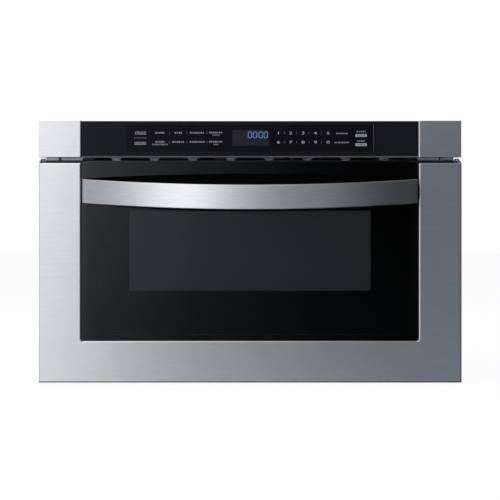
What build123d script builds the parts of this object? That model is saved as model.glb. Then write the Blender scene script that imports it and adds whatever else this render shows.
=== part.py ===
"""Built-in microwave drawer: fixed chassis with a touch panel, and a drawer front that carries an open basket.

Millimetres. +X is the viewer's right, +Y runs from the front to the back, +Z is up. The origin is the middle of
the footprint, on the surface that the base pan stands on. Names in capitals are sizes; Y positions are all
measured back from FRONT, the plane of the drawer's steel face.
"""

from build123d import *
import math
import os

# ---------------------------------------------------------------- sizes: what is seen from the front
FACE_WIDTH = 606.0  # drawer front and control fascia
DRAWER_HEIGHT = 314.6  # steel of the drawer front
FACE_LIFT = 2.5  # drawer front's lower edge above the surface
FASCIA_HEIGHT = 52.2  # control fascia
FASCIA_GAP = 8.4  # between the drawer front and the fascia, where the air slots show
FASCIA_SETBACK = 4.0  # fascia behind the drawer's face
SIDE_BAND = 61.3  # steel beside the glass
BOTTOM_BAND = 59.8  # steel under the glass
FACE_SHEET = 1.0  # thickness of the steel front
EDGE_BEND = 2.0  # outer bend of the steel front
FASCIA_ROUND = 0.4  # along the outer edges of the fascia's steel ends
FASCIA_RETURN = 10.0  # how far they fold back
LIP_BEND = 2.2  # bend into the opening for the glass
LIP_DEPTH = 3.0
OPENING_CORNER = 3.5
FACE_RETURN = 24.0  # how far the steel front folds back
EAR_RISE = 7.6  # folded corner ear above the steel's top edge
EAR_WIDTH = 7.0
EAR_HOLE_SIDE = 3.6  # hole inside the face's edge
EAR_HOLE = 4.0
GLASS = 4.0
GLASS_LAP = 6.0  # glass behind the steel
GLASS_SEAT = 0.2  # clearance between lip and glass
SPLIT_DROP = 54.1  # seam between glass and pull trim, below the steel's top edge
SEAM = 0.3
TRIM_RISE = 3.3  # pull trim above the steel's top edge
TRIM_END_DROP = 2.4  # its top edge falls by this at both ends
TRIM_END_RUN = 36.0
TRIM_ROUND = 0.8  # along its top front edge

# pull handle and the recess behind it
HANDLE_REACH = 52.0  # handle's furthest point in front of the face
HANDLE_BOW = 43.0  # how far its middle stands in front of its ends
HANDLE_SAG = 10.2  # how far its middle hangs below its ends
HANDLE_TALL = 34.2
HANDLE_THICK = 7.0
HANDLE_ROUND = 1.0
HANDLE_END_GAP = 3.4  # between the handle's ends and the steel
HANDLE_DROP = 41.0  # middle of the handle's ends below the steel's top edge
MOUNT_WIDTH = 26.0
MOUNT_TALL = 23.0
MOUNT_INSET = 4.0  # mount inside the handle's end
RECESS_SIDE = 6.4  # recess tips inside the opening
RECESS_TIP_DROP = 22.1  # recess tips below the steel's top edge
RECESS_RISE = 6.6
RECESS_DROP = 25.0
RECESS_DEPTH = 7.8
RECESS_WALL = 2.0

# ---------------------------------------------------------------- sizes: door behind the face
DOOR_DEPTH = 28.0  # face to the back of the door core
CORE_SHEET = 1.2
CORE_MARGIN = 8.5  # window cut-out and shoulders inside the core's outline
CORE_SHOULDER = 5.2  # core's outer shoulders above the steel's top edge
CORE_MIDDLE_RISE = 0.4
FRAME_GAP = 4.0  # door core to the chassis frame
CHOKE_WIDTH = 28.0
CHOKE_OVERLAP = 5.0  # choke's inner wall outside the cavity opening
CHOKE_CLEAR = 0.6  # choke behind the recess
CHOKE_SLIT = 3.0
CHOKE_PITCH = 24.0
CHOKE_COVER = 1.5
COVER_LAP = 3.0
COVER_RIB = 3.0
COVER_RIB_INSET = 6.0
WINDOW_SIDE = 68.5  # window inside the opening, each side
WINDOW_LIFT = 131.5  # window above the drawer's lower edge
WINDOW_DROP = 68.5  # window below the steel's top edge
SCREEN = 0.8
INNER_GLASS = 3.0

# ---------------------------------------------------------------- sizes: chassis
BODY_SIDE = 26.0  # body inside the face, each side, for a cut-out about 562 wide
BODY_DROP = 15.5  # body below the fascia's top edge
BODY_DEPTH = 505.0  # cabinet face plane to the back of the rear panel
CASE_SHEET = 1.0
PAN_SHEET = 1.2
COVER_SETBACK = 9.0  # cover's sides behind the front frame
PAN_FLANGE = 12.0
FRAME_DROP = 5.5  # frame below the fascia's top edge
FRAME_SIDE_GAP = 2.5  # frame inside the body's outer faces
FLANGE_SHEET = 1.5
FLANGE_REACH = 19.5  # mounting flange outside the body
FLANGE_LEG = 25.0
FLANGE_DROP = 11.5  # flange below the fascia's top edge
FLANGE_BOTTOM = 8.0
CABINET_HOLE = 4.6
CABINET_HOLE_INSET = 9.0  # from the flange's outer edge
CABINET_HOLE_LOW = 60.0
CABINET_HOLE_DROP = 66.0  # upper holes below the flange's top
SLOT_COUNT = 9
SLOT_WIDTH = 44.4
SLOT_PITCH = 55.6
SLOT_TALL = 10.5
SLOT_CORNER = 4.2
SLOT_TOP_INSET = 0.3  # slots below the touch glass's lower edge
GLAND_REACH = 9.0
GLAND_RADIUS = 9.0
GLAND_BORE = 4.75
GLAND_GROOVE = 7.0
GLAND_NUT = 6.0  # gland inside the rear panel
GLAND_SIDE = 71.0  # from the case's inner wall
GLAND_DROP = 37.0  # from the case's top
SCREW_HEAD = 4.0
SCREW_HEAD_TALL = 2.2
SCREW_SHANK = 1.75
SCREW_CLEAR = 0.2
SCREW_LENGTH = 8.0

# ---------------------------------------------------------------- sizes: cavity, basket, drive
CAVITY_SIDE = 53.0  # cavity inside the case's inner wall, each side
CAVITY_LOW = 72.0
ROOM_ABOVE = 90.0  # cavity's ceiling to the case's top
ROOM_BEHIND = 89.0  # cavity's back to the body's back
CAVITY_SHEET = 1.0
PORT_RADIUS = 35.0
BASKET_SIDE_GAP = 6.0
BASKET_LIFT = 6.0
BASKET_DROP = 66.0  # basket's top edge below the cavity's ceiling
BASKET_BACK_GAP = 11.0
BASKET_WALL = 1.5
BASKET_FLANGE = 19.0
BASKET_CORNER = 22.0
RIM = 5.0
TRAY = 5.0
TRAY_GAP = 4.0
TRAY_CORNER = 16.0
TRAVEL_SHORT = 15.0  # drawer travel less than the cavity's depth
SLIDE_TALL = 45.0
SLIDE_OVER = 15.0  # slides longer than the cavity is deep
SLIDE_SHEET = 1.2
SLIDE_WIDTH = 11.5
SLIDE_CENTRE = 38.0
SLIDE_CLEAR = 0.3
SLIDE_START = 3.0  # behind the chassis frame
BRACKET_SHEET = 2.0
BRACKET_LENGTH = 92.0
BRACKET_LOW = 20.0
BRACKET_TALL = 21.0
BRACKET_FOOT = 26.0
MODULE = 1.5
PINION_TEETH = 18
BACKLASH = 0.16
CENTRE_CLEAR = 0.08
RACK_LOW = 27.0
RACK_TALL = 10.0
RACK_BACK = 11.0  # rack's back face to its pitch line
RACK_PITCH_X = 3.0
PINION_BACK = 60.0  # pinion axis behind the face
SHAFT_RADIUS = 3.0
RUN_CLEAR = 0.05
LATCH_SIDE = 26.0  # from the case's inner wall
LATCH_DROP = 74.0  # below the cavity's ceiling
LATCH_REACH = 18.0
LATCH_WIDTH = 8.0
LATCH_TALL = 16.0
SWITCH_WIDTH = 16.0
SWITCH_TALL = 25.0
SWITCH_BELOW = 13.0  # switch below its plunger
SWITCH_REACH = 34.0  # switch behind the latch hook
SWITCH_BLADE = (6.0, 6.0, 1.0)  # terminals
SWITCH_SHEET = 1.2  # its bracket's wall
PLUNGER_RADIUS = 2.0
PLUNGER_LENGTH = 10.7
PLUNGER_TRAVEL = 1.2
CONTACT_GAP = 0.3

# ---------------------------------------------------------------- sizes: microwave parts on the cavity's roof
DISH_SIDE = 103.0  # stirrer's dish inside the cavity, each side
DISH_LENGTH = 190.0
DISH_TALL = 11.0
DISH_WALL = 1.5
DISH_CORNER = 12.0
STIRRER_REACH = 62.0
STIRRER_DROP = 6.0  # blades below the ceiling
STIRRER_HUB = 14.0
STIRRER_BLADES = 4
STIRRER_MOTOR_RADIUS = 24.0
STIRRER_MOTOR_TALL = 17.0
SHAFT_DEPTH = 8.0  # shaft inside its motor
GUIDE_WIDTH = 90.0
GUIDE_TALL = 44.0
GUIDE_SHEET = 1.2
YOKE_WIDTH = 92.0
YOKE_DEPTH = 78.0
YOKE_TALL = 83.0
YOKE_SHEET = 2.0
YOKE_LIFT = 0.5
YOKE_OVERHANG = 62.0  # yoke's front ahead of the cavity's back
ANODE_RADIUS = 17.0
MAGNET_RADIUS = 27.0
MAGNET_THICK = 12.0
ANTENNA_RADIUS = 7.0
ANTENNA_REACH = 26.0
ANTENNA_DROP = 18.0  # antenna below the anode's axis
ANTENNA_HOLE = 12.0
STEM_RADIUS = 9.0
STEM_REACH = 6.0
FIN_COUNT = 7
FIN_PITCH = 6.6
FIN_SHEET = 0.8
FIN_MARGIN = 2.0  # fins inside the yoke
FILTER_WIDTH = 68.0
FILTER_DEPTH = 34.0
FILTER_TALL = 54.0
BOARD_SHEET = 1.6
BOARD_WIDTH = 120.0
BOARD_LENGTH = 150.0
BOARD_SIDE = 8.0  # power board inside the cavity's left wall
BOARD_POST = 6.0
POST_RADIUS = 3.0
POST_INSET = 7.0
CAPACITORS = ((25, 22, 31, 11), (53, 22, 31, 11), (25, 60, 23, 14))  # x and y on the board, height, radius
CORE_SIZE = (55.0, 45.0, 40.0)
CORE_PLACE = (10.0, 90.0)  # transformer on the board
WINDING_RADIUS = 18.0
WINDING_TALL = 6.0
SINK_SIZE = (40.0, 70.0, 48.0)
SINK_PLACE = (75.0, 10.0)
SINK_BASE = 6.0
SINK_FIN = 2.0
SINK_FINS = 7
FAN_RADIUS = 39.0  # inside of the ring
FAN_WALL = 2.0
FAN_DEPTH = 12.0
FAN_GAP = 18.0  # shroud to yoke
FAN_PLATE_MARGIN = 9.0
FAN_HUB = 11.0
FAN_BLADES = 5
FAN_PITCH_ANGLE = 35.0
FAN_CHORD = 16.0
FAN_TIP_GAP = 2.0
FAN_SHAFT = 2.5
FAN_MOTOR = 44.0
FAN_MOTOR_DEPTH = 34.0
FAN_ARM_GAP = 12.0  # ring to the motor's arms
FAN_ARM = 6.0
BAFFLE_GAP = 14.0  # yoke to baffle

# ---------------------------------------------------------------- sizes: control panel
TOUCH_GLASS = 3.0
RAIL_INSET = 0.4  # rail under the touch glass, behind the glass's front
RAIL_TALL = 1.5
TOUCH_LIFT = 1.6  # touch glass above the steel fascia's lower edge
HOUSING_LIFT = 2.0  # housing's underside above the touch glass's lower edge
HOUSING_SHEET = 2.0
BOSS_RADIUS = 3.0
BOSS_EDGE = 9.0
BOARD_EDGE = 5.0
BOARD_STANDOFF = 10.0
BOARD_SIDE_GAP = 60.0  # board's end to the housing's end
DISPLAY_SIZE = (55.5, 24.0)
DISPLAY_RISE = 1.0
RACK_GATE = 44.0
GEARBOX_EDGE = 18.0  # pinion axis inside the gearbox's left and front walls
GEARBOX_SIZE = (44.0, 42.0)
GEARBOX_CORNER = 4.0
DRIVE_MOTOR_RADIUS = 15.5
DRIVE_MOTOR_LENGTH = 58.0
DRIVE_CAP = (4.0, 6.0)  # length and radius of the motor's end cap
GUIDE_WALL = 6.0
GUIDE_LEAD = 22.0  # rack guide in front of the pinion's axis
GUIDE_LENGTH = 62.0
WIRE_GATE_SIDE = 124.0  # wires' way through the frame, in from its edge
WIRE_GATE_RISE = 12.0
WIRE_GATE_DROP = 8.0

# ---------------------------------------------------------------- sizes: stamped and screwed details of the case
SUPPORT_SIDE = 73.0  # cavity's stands, in from its walls
SUPPORT_WIDTH = 25.0
SUPPORT_DEPTH = 30.0
SUPPORT_INSET = 10.0  # stands ahead of the cavity's back
SUPPORT_SHEET = 1.5
RIB_COUNT = 3
RIB_WIDTH = 36.0
RIB_RISE = 1.5
RIB_MARGIN = 70.0
LOUVRE_COLUMNS = 5
LOUVRE_ROWS = 6
LOUVRE_PITCH = (62.0, 10.0)
LOUVRE_SIZE = (46.0, 4.0)
LOUVRE_SHIFT = 62.0  # louvres' middle to the left of the body's
LOUVRE_LIFT = 14.0
SIDE_SLOTS = 14
SIDE_SLOT = (4.0, 36.0)
SIDE_SLOT_PITCH = 11.0
SIDE_SLOT_DROP = 50.0
SIDE_SLOT_BACK = 60.0

# ---------------------------------------------------------------- places worked out from the sizes
OVERALL_DEPTH = HANDLE_REACH + DOOR_DEPTH + FRAME_GAP + BODY_DEPTH + GLAND_REACH
FRONT = HANDLE_REACH - OVERALL_DEPTH / 2
FACE_HALF = FACE_WIDTH / 2
DRAWER_LOW = FACE_LIFT
DRAWER_TOP = DRAWER_LOW + DRAWER_HEIGHT
FASCIA_LOW = DRAWER_TOP + FASCIA_GAP
FASCIA_TOP = FASCIA_LOW + FASCIA_HEIGHT
FASCIA_Y = FRONT + FASCIA_SETBACK
OPENING_HALF = FACE_HALF - SIDE_BAND
OPENING_LOW = DRAWER_LOW + BOTTOM_BAND
GLASS_Y = FRONT + LIP_DEPTH + GLASS_SEAT
GLASS_BACK = GLASS_Y + GLASS
SPLIT_Z = DRAWER_TOP - SPLIT_DROP
HANDLE_Z = DRAWER_TOP - HANDLE_DROP
TRIM_TOP = DRAWER_TOP + TRIM_RISE
DOOR_BACK = FRONT + DOOR_DEPTH
FRAME_Y = DOOR_BACK + FRAME_GAP
FRAME_BACK = FRAME_Y + CASE_SHEET
BODY_BACK = FRAME_Y + BODY_DEPTH
REAR_Y = BODY_BACK - CASE_SHEET
BODY_HALF = FACE_HALF - BODY_SIDE
BODY_HEIGHT = FASCIA_TOP - BODY_DROP
FRAME_HEIGHT = FASCIA_TOP - FRAME_DROP
FLANGE_TOP = FASCIA_TOP - FLANGE_DROP
INNER_HALF = BODY_HALF - CASE_SHEET
FRAME_HALF = BODY_HALF - FRAME_SIDE_GAP
FLANGE_HALF = BODY_HALF + FLANGE_REACH
RECESS_BACK = GLASS_Y + RECESS_DEPTH + RECESS_WALL
CHOKE_Y = RECESS_BACK + CHOKE_CLEAR
CAVITY_HALF = INNER_HALF - CAVITY_SIDE
CAVITY_TOP = BODY_HEIGHT - ROOM_ABOVE
CAVITY_BACK = BODY_BACK - ROOM_BEHIND
CAVITY_DEPTH = CAVITY_BACK - FRAME_BACK
CHOKE_IN_HALF = CAVITY_HALF + CHOKE_OVERLAP
CHOKE_IN_LOW = CAVITY_LOW + 2 * CORE_SHEET
CHOKE_IN_TOP = CAVITY_TOP - 2 * CORE_SHEET
BASKET_HALF = CAVITY_HALF - BASKET_SIDE_GAP
BASKET_LOW = CAVITY_LOW + BASKET_LIFT
BASKET_TOP = CAVITY_TOP - BASKET_DROP
BASKET_BACK = CAVITY_BACK - BASKET_BACK_GAP
ABOVE_CAVITY = CAVITY_TOP + CAVITY_SHEET  # deck that the microwave parts stand on
CENTRE_Y = FRAME_BACK + CAVITY_DEPTH / 2
TRAVEL = CAVITY_DEPTH - TRAVEL_SHORT
SLIDE_LENGTH = CAVITY_DEPTH + SLIDE_OVER
SLIDE_HALF = SLIDE_TALL / 2
SLIDE_Y = FRAME_BACK + SLIDE_START
DISH_HALF = CAVITY_HALF - DISH_SIDE
GUIDE_TOP = ABOVE_CAVITY + GUIDE_TALL
YOKE_Y = CAVITY_BACK - YOKE_OVERHANG
YOKE_BACK = YOKE_Y + YOKE_DEPTH
YOKE_LOW = ABOVE_CAVITY + YOKE_LIFT
ANODE_Z = YOKE_LOW + YOKE_TALL / 2
ANTENNA_Z = ANODE_Z - ANTENNA_DROP
BOARD_X = BOARD_SIDE - CAVITY_HALF
BOARD_Y = CENTRE_Y - BOARD_LENGTH / 5
BOARD_TOP = ABOVE_CAVITY + BOARD_POST + BOARD_SHEET
FAN_X = -YOKE_WIDTH / 2 - FAN_GAP
FAN_Y = YOKE_Y + YOKE_DEPTH / 2
FAN_Z = ABOVE_CAVITY + FAN_RADIUS + 2 * FAN_WALL
FAN_HALF = FAN_RADIUS + FAN_PLATE_MARGIN
FAN_MOTOR_X = FAN_X - FAN_DEPTH - FAN_ARM_GAP
BAFFLE_X = YOKE_WIDTH / 2 + BAFFLE_GAP
PINION_RADIUS = MODULE * PINION_TEETH / 2
PINION_X = RACK_PITCH_X + PINION_RADIUS + CENTRE_CLEAR
PINION_Y = FRONT + PINION_BACK
LATCH_X = INNER_HALF - LATCH_SIDE
LATCH_Z = CAVITY_TOP - LATCH_DROP
LATCH_END = DOOR_BACK + LATCH_REACH
GLAND_X = INNER_HALF - GLAND_SIDE
GLAND_Z = BODY_HEIGHT - GLAND_DROP
RECESS_HALF = OPENING_HALF - RECESS_SIDE
WINDOW_HALF = OPENING_HALF - WINDOW_SIDE


# ---------------------------------------------------------------- shared shapes
def block(x0, x1, y0, y1, z0, z1):
    """Box between two corners."""
    return Pos(x0, y0, z0) * Box(x1 - x0, y1 - y0, z1 - z0, align=(Align.MIN,) * 3)


def both(shape):
    """The shape and its mirror image across the object's middle, as separate solids."""
    return Compound(children=[*shape.solids(), *mirror(shape, about=Plane.YZ).solids()])


def group(shapes):
    """Separate solids in one node."""
    return Compound(children=[solid for shape in shapes for solid in shape.solids()])


def along_x(face, x0, x1):
    """Extrude a face drawn as (y, z)."""
    return extrude(Plane.YZ.offset(x0) * face, x1 - x0)


def along_y(face, y0, y1):
    """Extrude a face drawn as (x, z)."""
    return extrude(Plane.XZ.offset(-y1) * face, y1 - y0)


def along_z(face, z0, z1):
    """Extrude a face drawn as (x, y)."""
    return extrude(Plane.XY.offset(z0) * face, z1 - z0)


def polygon(*points):
    return make_face(Polyline(*points, close=True))


def rod_x(x0, x1, y, z, radius):
    return along_x(Pos(y, z) * Circle(radius), x0, x1)


def rod_y(x, y0, y1, z, radius):
    return along_y(Pos(x, z) * Circle(radius), y0, y1)


def rod_z(x, y, z0, z1, radius):
    return along_z(Pos(x, y) * Circle(radius), z0, z1)


def hollow(x0, x1, y0, y1, z0, z1, wall, open_sides=()):
    """Box of sheet, open on the named sides: -x, +x, -y, +y, -z, +z."""
    inner = []
    for axis, (low, high) in zip("xyz", ((x0, x1), (y0, y1), (z0, z1))):
        inner.append(low - wall if "-" + axis in open_sides else low + wall)
        inner.append(high + wall if "+" + axis in open_sides else high - wall)
    return block(x0, x1, y0, y1, z0, z1) - block(*inner)


def soft_block(corners, axis, radius):
    """Block whose four edges along one axis are round."""
    body = block(*corners)
    return fillet(body.edges().filter_by(axis), radius)


def soft_front(corners, radius):
    """Block whose front edges are round."""
    body = block(*corners)
    return fillet(body.faces().sort_by(Axis.Y)[0].edges(), radius)


def cradle(half, y0, y1, z0, z1, radius):
    """Block whose two lower corners are round, seen from the front."""
    body = block(-half, half, y0, y1, z0, z1)
    return fillet(body.edges().filter_by(Axis.Y).group_by(Axis.Z)[0], radius)


def screw_y(x, y, z, length=SCREW_LENGTH, sign=1):
    """Pan-head screw whose head stands on the plane y and points along sign * Y."""
    head = rod_y(x, *sorted((y, y + sign * SCREW_HEAD_TALL)), z, SCREW_HEAD)
    rims = head.edges().filter_by(GeomType.CIRCLE).sort_by(Axis.Y)
    head = fillet(rims[-1] if sign > 0 else rims[0], SCREW_HEAD_TALL / 2)
    return head + rod_y(x, *sorted((y, y - sign * length)), z, SCREW_SHANK)


def screw_hole_y(x, y0, y1, z):
    return rod_y(x, y0, y1, z, SCREW_SHANK + SCREW_CLEAR)


# ---------------------------------------------------------------- drawer front
def tray_space(x0, x1, y0, y1, z0, z1):
    """Corners of the room inside a tray of face sheet that is open at the back."""
    t = FACE_SHEET
    return x0 + t, x1 - t, y0 + t, y1 + 1, z0 + t, z1 - t


def corner_ear():
    """Right-hand ear: the side return rises towards the back and folds inwards, with a hole."""
    back = FRONT + FACE_RETURN
    top = DRAWER_TOP + EAR_RISE
    web = along_x(
        polygon(
            (FRONT + EDGE_BEND, DRAWER_TOP - EDGE_BEND),
            (back, DRAWER_TOP - EDGE_BEND),
            (back, top),
            (back - FACE_SHEET, top),
            (FRONT + EDGE_BEND, DRAWER_TOP),
        ),
        FACE_HALF - FACE_SHEET,
        FACE_HALF,
    )
    fold = block(FACE_HALF - EAR_WIDTH, FACE_HALF, back - FACE_SHEET, back, DRAWER_TOP - FACE_SHEET, top)
    hole = rod_y(FACE_HALF - EAR_HOLE_SIDE, back - 2, back + 1, DRAWER_TOP + EAR_RISE / 2, EAR_HOLE / 2)
    return web + fold - hole


def drawer_front():
    """U-shaped steel face: two side bands and a bottom band round the glass."""
    corners = (-FACE_HALF, FACE_HALF, FRONT, FRONT + FACE_RETURN, DRAWER_LOW, DRAWER_TOP)
    lip_half = OPENING_HALF + FACE_SHEET
    lip_low = OPENING_LOW - FACE_SHEET
    lip = cradle(lip_half, FRONT, FRONT + LIP_DEPTH, lip_low, 2 * DRAWER_TOP, OPENING_CORNER + FACE_SHEET)
    slab = block(-FACE_WIDTH, FACE_WIDTH, FRONT, FRONT + FACE_RETURN, 0, 2 * DRAWER_TOP)
    through = (FRONT - 1, FRONT + FACE_RETURN + 1)
    slab -= cradle(OPENING_HALF, *through, OPENING_LOW, 3 * DRAWER_TOP, OPENING_CORNER)
    front_edges = slab.faces().sort_by(Axis.Y)[0].edges()
    near = OPENING_HALF + 0.1
    rim = [e for e in front_edges if abs(e.center().X) < near and e.center().Z > OPENING_LOW - 0.1]
    slab = fillet(rim, LIP_BEND)
    inside = soft_front(tray_space(*corners), EDGE_BEND - FACE_SHEET)
    face = (soft_front(corners, EDGE_BEND) & slab) - (inside - lip)
    ear = corner_ear()
    return face + ear + mirror(ear, about=Plane.YZ)


def front_glass():
    half = OPENING_HALF + GLASS_LAP
    return block(-half, half, GLASS_Y, GLASS_BACK, OPENING_LOW - GLASS_LAP, SPLIT_Z)


def recess_outline():
    """Eye-shaped mouth of the finger recess, as (x, z)."""
    tip = DRAWER_TOP - RECESS_TIP_DROP
    upper = ThreePointArc((-RECESS_HALF, tip), (0, tip + RECESS_RISE), (RECESS_HALF, tip))
    lower = ThreePointArc((RECESS_HALF, tip), (0, tip - RECESS_DROP), (-RECESS_HALF, tip))
    return make_face(upper + lower)


def trim_outline():
    """Pull trim, with a top edge that falls at both ends and shoulders behind the steel."""
    lap = OPENING_HALF + GLASS_LAP
    side = OPENING_HALF - SEAM
    low = SPLIT_Z + SEAM
    shoulder = DRAWER_TOP - 2 * FACE_SHEET
    drop = TRIM_TOP - TRIM_END_DROP
    run = side - TRIM_END_RUN
    middle = side - 0.3 * TRIM_END_RUN
    edge = Polyline((-run, TRIM_TOP), (run, TRIM_TOP))
    edge += ThreePointArc((run, TRIM_TOP), (middle, TRIM_TOP - 0.42 * TRIM_END_DROP), (side, drop))
    edge += Polyline((side, drop), (side, shoulder), (lap, shoulder), (lap, low))
    edge += Polyline((lap, low), (-lap, low))
    edge += Polyline((-lap, low), (-lap, shoulder), (-side, shoulder), (-side, drop))
    edge += ThreePointArc((-side, drop), (-middle, TRIM_TOP - 0.42 * TRIM_END_DROP), (-run, TRIM_TOP))
    return make_face(edge)


def handle_screw_places():
    x = FACE_HALF - SIDE_BAND - HANDLE_END_GAP - MOUNT_INSET - MOUNT_WIDTH / 2
    z = HANDLE_Z
    return [(s * x, z + dz) for s in (-1, 1) for dz in (-MOUNT_TALL / 4, MOUNT_TALL / 4)]


def handle_trim():
    """Gloss trim above the glass, with the recess moulded into it."""
    plate = along_y(trim_outline(), GLASS_Y, GLASS_BACK)
    front_edges = plate.faces().sort_by(Axis.Y)[0].edges()
    plate = fillet([e for e in front_edges if e.center().Z > TRIM_TOP - TRIM_END_DROP], TRIM_ROUND)
    shell = along_y(offset(recess_outline(), RECESS_WALL, kind=Kind.INTERSECTION), GLASS_Y, RECESS_BACK)
    shell &= block(-RECESS_HALF - RECESS_WALL, RECESS_HALF + RECESS_WALL, FRONT, DOOR_BACK, 0, DRAWER_TOP)
    bowl = along_y(recess_outline(), GLASS_Y - 1, RECESS_BACK - RECESS_WALL)
    trim = plate + shell - bowl
    for x, z in handle_screw_places():
        trim -= screw_hole_y(x, GLASS_Y - 1, GLASS_BACK + 1, z)
    return trim


def arc_band(half, end, middle, width):
    """Band of even width along an arc that is symmetric about the middle, drawn flat."""
    low = ThreePointArc((-half, end - width / 2), (0, middle - width / 2), (half, end - width / 2))
    high = ThreePointArc((half, end + width / 2), (0, middle + width / 2), (-half, end + width / 2))
    return make_face(low + Line(low @ 1, high @ 0) + high + Line(high @ 1, low @ 0))


def handle_bar():
    """Flat bar, bowed forwards in plan and hanging a little in the middle."""
    half = OPENING_HALF - HANDLE_END_GAP
    end_y = FRONT - HANDLE_REACH + HANDLE_BOW + HANDLE_THICK / 2
    end_z = HANDLE_Z
    plan = along_z(arc_band(half, end_y, end_y - HANDLE_BOW, HANDLE_THICK), DRAWER_LOW, DRAWER_TOP)
    front = along_y(arc_band(half, end_z, end_z - HANDLE_SAG, HANDLE_TALL), FRONT - 2 * HANDLE_REACH, FRONT)
    bar = plan & front
    bar = fillet(bar.edges().sort_by(SortBy.LENGTH)[-4:], HANDLE_ROUND)
    for x, z in handle_screw_places():
        bar -= rod_y(x, end_y - HANDLE_THICK, FRONT, z, SCREW_SHANK + SCREW_CLEAR)
    return bar


def handle_mounts(bar):
    """Blocks that stand on the trim and carry the handle's ends."""
    outer = OPENING_HALF - HANDLE_END_GAP - MOUNT_INSET
    inner = outer - MOUNT_WIDTH
    bow = HANDLE_BOW / OPENING_HALF**2
    end_y = FRONT - HANDLE_REACH + HANDLE_BOW + HANDLE_THICK / 2

    def line_y(x):
        return end_y - HANDLE_BOW + bow * x**2

    z = HANDLE_Z
    mount = along_z(
        polygon((inner, line_y(inner)), (outer, line_y(outer)), (outer, GLASS_Y), (inner, GLASS_Y)),
        z - MOUNT_TALL / 2,
        z + MOUNT_TALL / 2,
    )
    mounts = [mount - bar, mirror(mount, about=Plane.YZ) - bar]
    for x, z in handle_screw_places():
        hole = rod_y(x, FRONT - HANDLE_REACH, GLASS_Y + 1, z, SCREW_SHANK + SCREW_CLEAR)
        mounts = [m - hole for m in mounts]
    return group([m.solids().sort_by(Axis.Y)[-1] for m in mounts])


def handle_screws():
    return group([screw_y(x, GLASS_BACK, z, GLASS_BACK - FRONT + 4) for x, z in handle_screw_places()])


def door_core():
    """Hollow steel box behind the glass that everything on the drawer front is fixed to."""
    half = FACE_HALF - FACE_SHEET
    low = DRAWER_LOW + FACE_SHEET
    top = DRAWER_TOP - FACE_SHEET
    middle = OPENING_HALF - FACE_SHEET
    middle_top = DRAWER_TOP + CORE_MIDDLE_RISE
    outside = block(-half, half, GLASS_BACK, DOOR_BACK, low, top)
    outside += block(-middle, middle, GLASS_BACK, DOOR_BACK, low, middle_top)
    t = CORE_SHEET
    inside = block(-half + t, half - t, GLASS_BACK + t, DOOR_BACK - t, low + t, top - t)
    inside += block(-middle + t, middle - t, GLASS_BACK + t, DOOR_BACK - t, low + t, middle_top - t)
    window_half = OPENING_HALF - CORE_MARGIN
    front_sheet = (GLASS_BACK - 1, GLASS_BACK + t + 1)
    window = block(-window_half, window_half, *front_sheet, OPENING_LOW + CORE_MARGIN, SPLIT_Z)
    pocket = block(-middle + t, middle - t, *front_sheet, SPLIT_Z - 1, middle_top - 2 * t)
    choke_half = CHOKE_IN_HALF + CHOKE_WIDTH
    choke_rows = (CHOKE_IN_LOW - CHOKE_WIDTH, CHOKE_IN_TOP + CHOKE_WIDTH)
    choke_hole = block(-choke_half, choke_half, DOOR_BACK - t - 1, DOOR_BACK + 1, *choke_rows)
    shoulder = block(
        OPENING_HALF + 2 * FACE_SHEET,
        half - FACE_SHEET,
        FRONT + FACE_RETURN,
        DOOR_BACK,
        top - 2 * t,
        DRAWER_TOP + CORE_SHOULDER,
    )
    core = outside - inside - window - pocket - choke_hole + both(shoulder)
    for x, z in door_screw_places():
        core -= screw_hole_y(x, DOOR_BACK - t - 1, DOOR_BACK + 1, z)
    return core


def ring(half_in, low_in, top_in, width, y0, y1):
    outer = block(-half_in - width, half_in + width, y0, y1, low_in - width, top_in + width)
    return outer - block(-half_in, half_in, y0 - 1, y1 + 1, low_in, top_in)


def choke_ring(grow_in, grow_out, y0, y1):
    """Ring round the window; its inner and its outer edge can each be moved outwards."""
    half, low, top = CHOKE_IN_HALF + grow_in, CHOKE_IN_LOW - grow_in, CHOKE_IN_TOP + grow_in
    return ring(half, low, top, CHOKE_WIDTH - grow_in + grow_out, y0, y1)


def choke_slits():
    """Slits that turn the choke's inner wall into a comb."""
    wall = CORE_SHEET
    half = CHOKE_SLIT / 2
    start = DOOR_BACK - (DOOR_BACK - CHOKE_Y) * 0.6
    slits = []
    columns = int((2 * CHOKE_IN_HALF - CHOKE_PITCH) / CHOKE_PITCH)
    for i in range(columns):
        x = (i - (columns - 1) / 2) * CHOKE_PITCH
        for z in (CHOKE_IN_LOW - wall, CHOKE_IN_TOP):
            slits.append(block(x - half, x + half, start, DOOR_BACK + 1, z - 0.1, z + wall + 0.1))
    rows = int((CHOKE_IN_TOP - CHOKE_IN_LOW - CHOKE_PITCH) / CHOKE_PITCH)
    middle = (CHOKE_IN_TOP + CHOKE_IN_LOW) / 2
    for i in range(rows):
        z = middle + (i - (rows - 1) / 2) * CHOKE_PITCH
        for x in (-CHOKE_IN_HALF - wall, CHOKE_IN_HALF):
            slits.append(block(x - 0.1, x + wall + 0.1, start, DOOR_BACK + 1, z - half, z + half))
    return slits


def choke_frame():
    """Channel round the window that stops microwaves at the gap."""
    wall = CORE_SHEET
    outside = choke_ring(0, 0, CHOKE_Y, DOOR_BACK)
    groove = choke_ring(wall, -wall, CHOKE_Y + wall, DOOR_BACK + 1)
    return outside - groove - choke_slits()


def choke_cover():
    """Plastic ring over the choke's mouth, with a rib that clips inside it."""
    cover = choke_ring(0, COVER_LAP, DOOR_BACK, DOOR_BACK + CHOKE_COVER)
    outer, inner = COVER_RIB_INSET, COVER_RIB_INSET + CHOKE_COVER
    rib = choke_ring(outer, -outer, DOOR_BACK - COVER_RIB, DOOR_BACK + CHOKE_COVER / 2)
    return cover + (rib - choke_ring(inner, -inner, DOOR_BACK - COVER_RIB - 1, DOOR_BACK))


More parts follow.
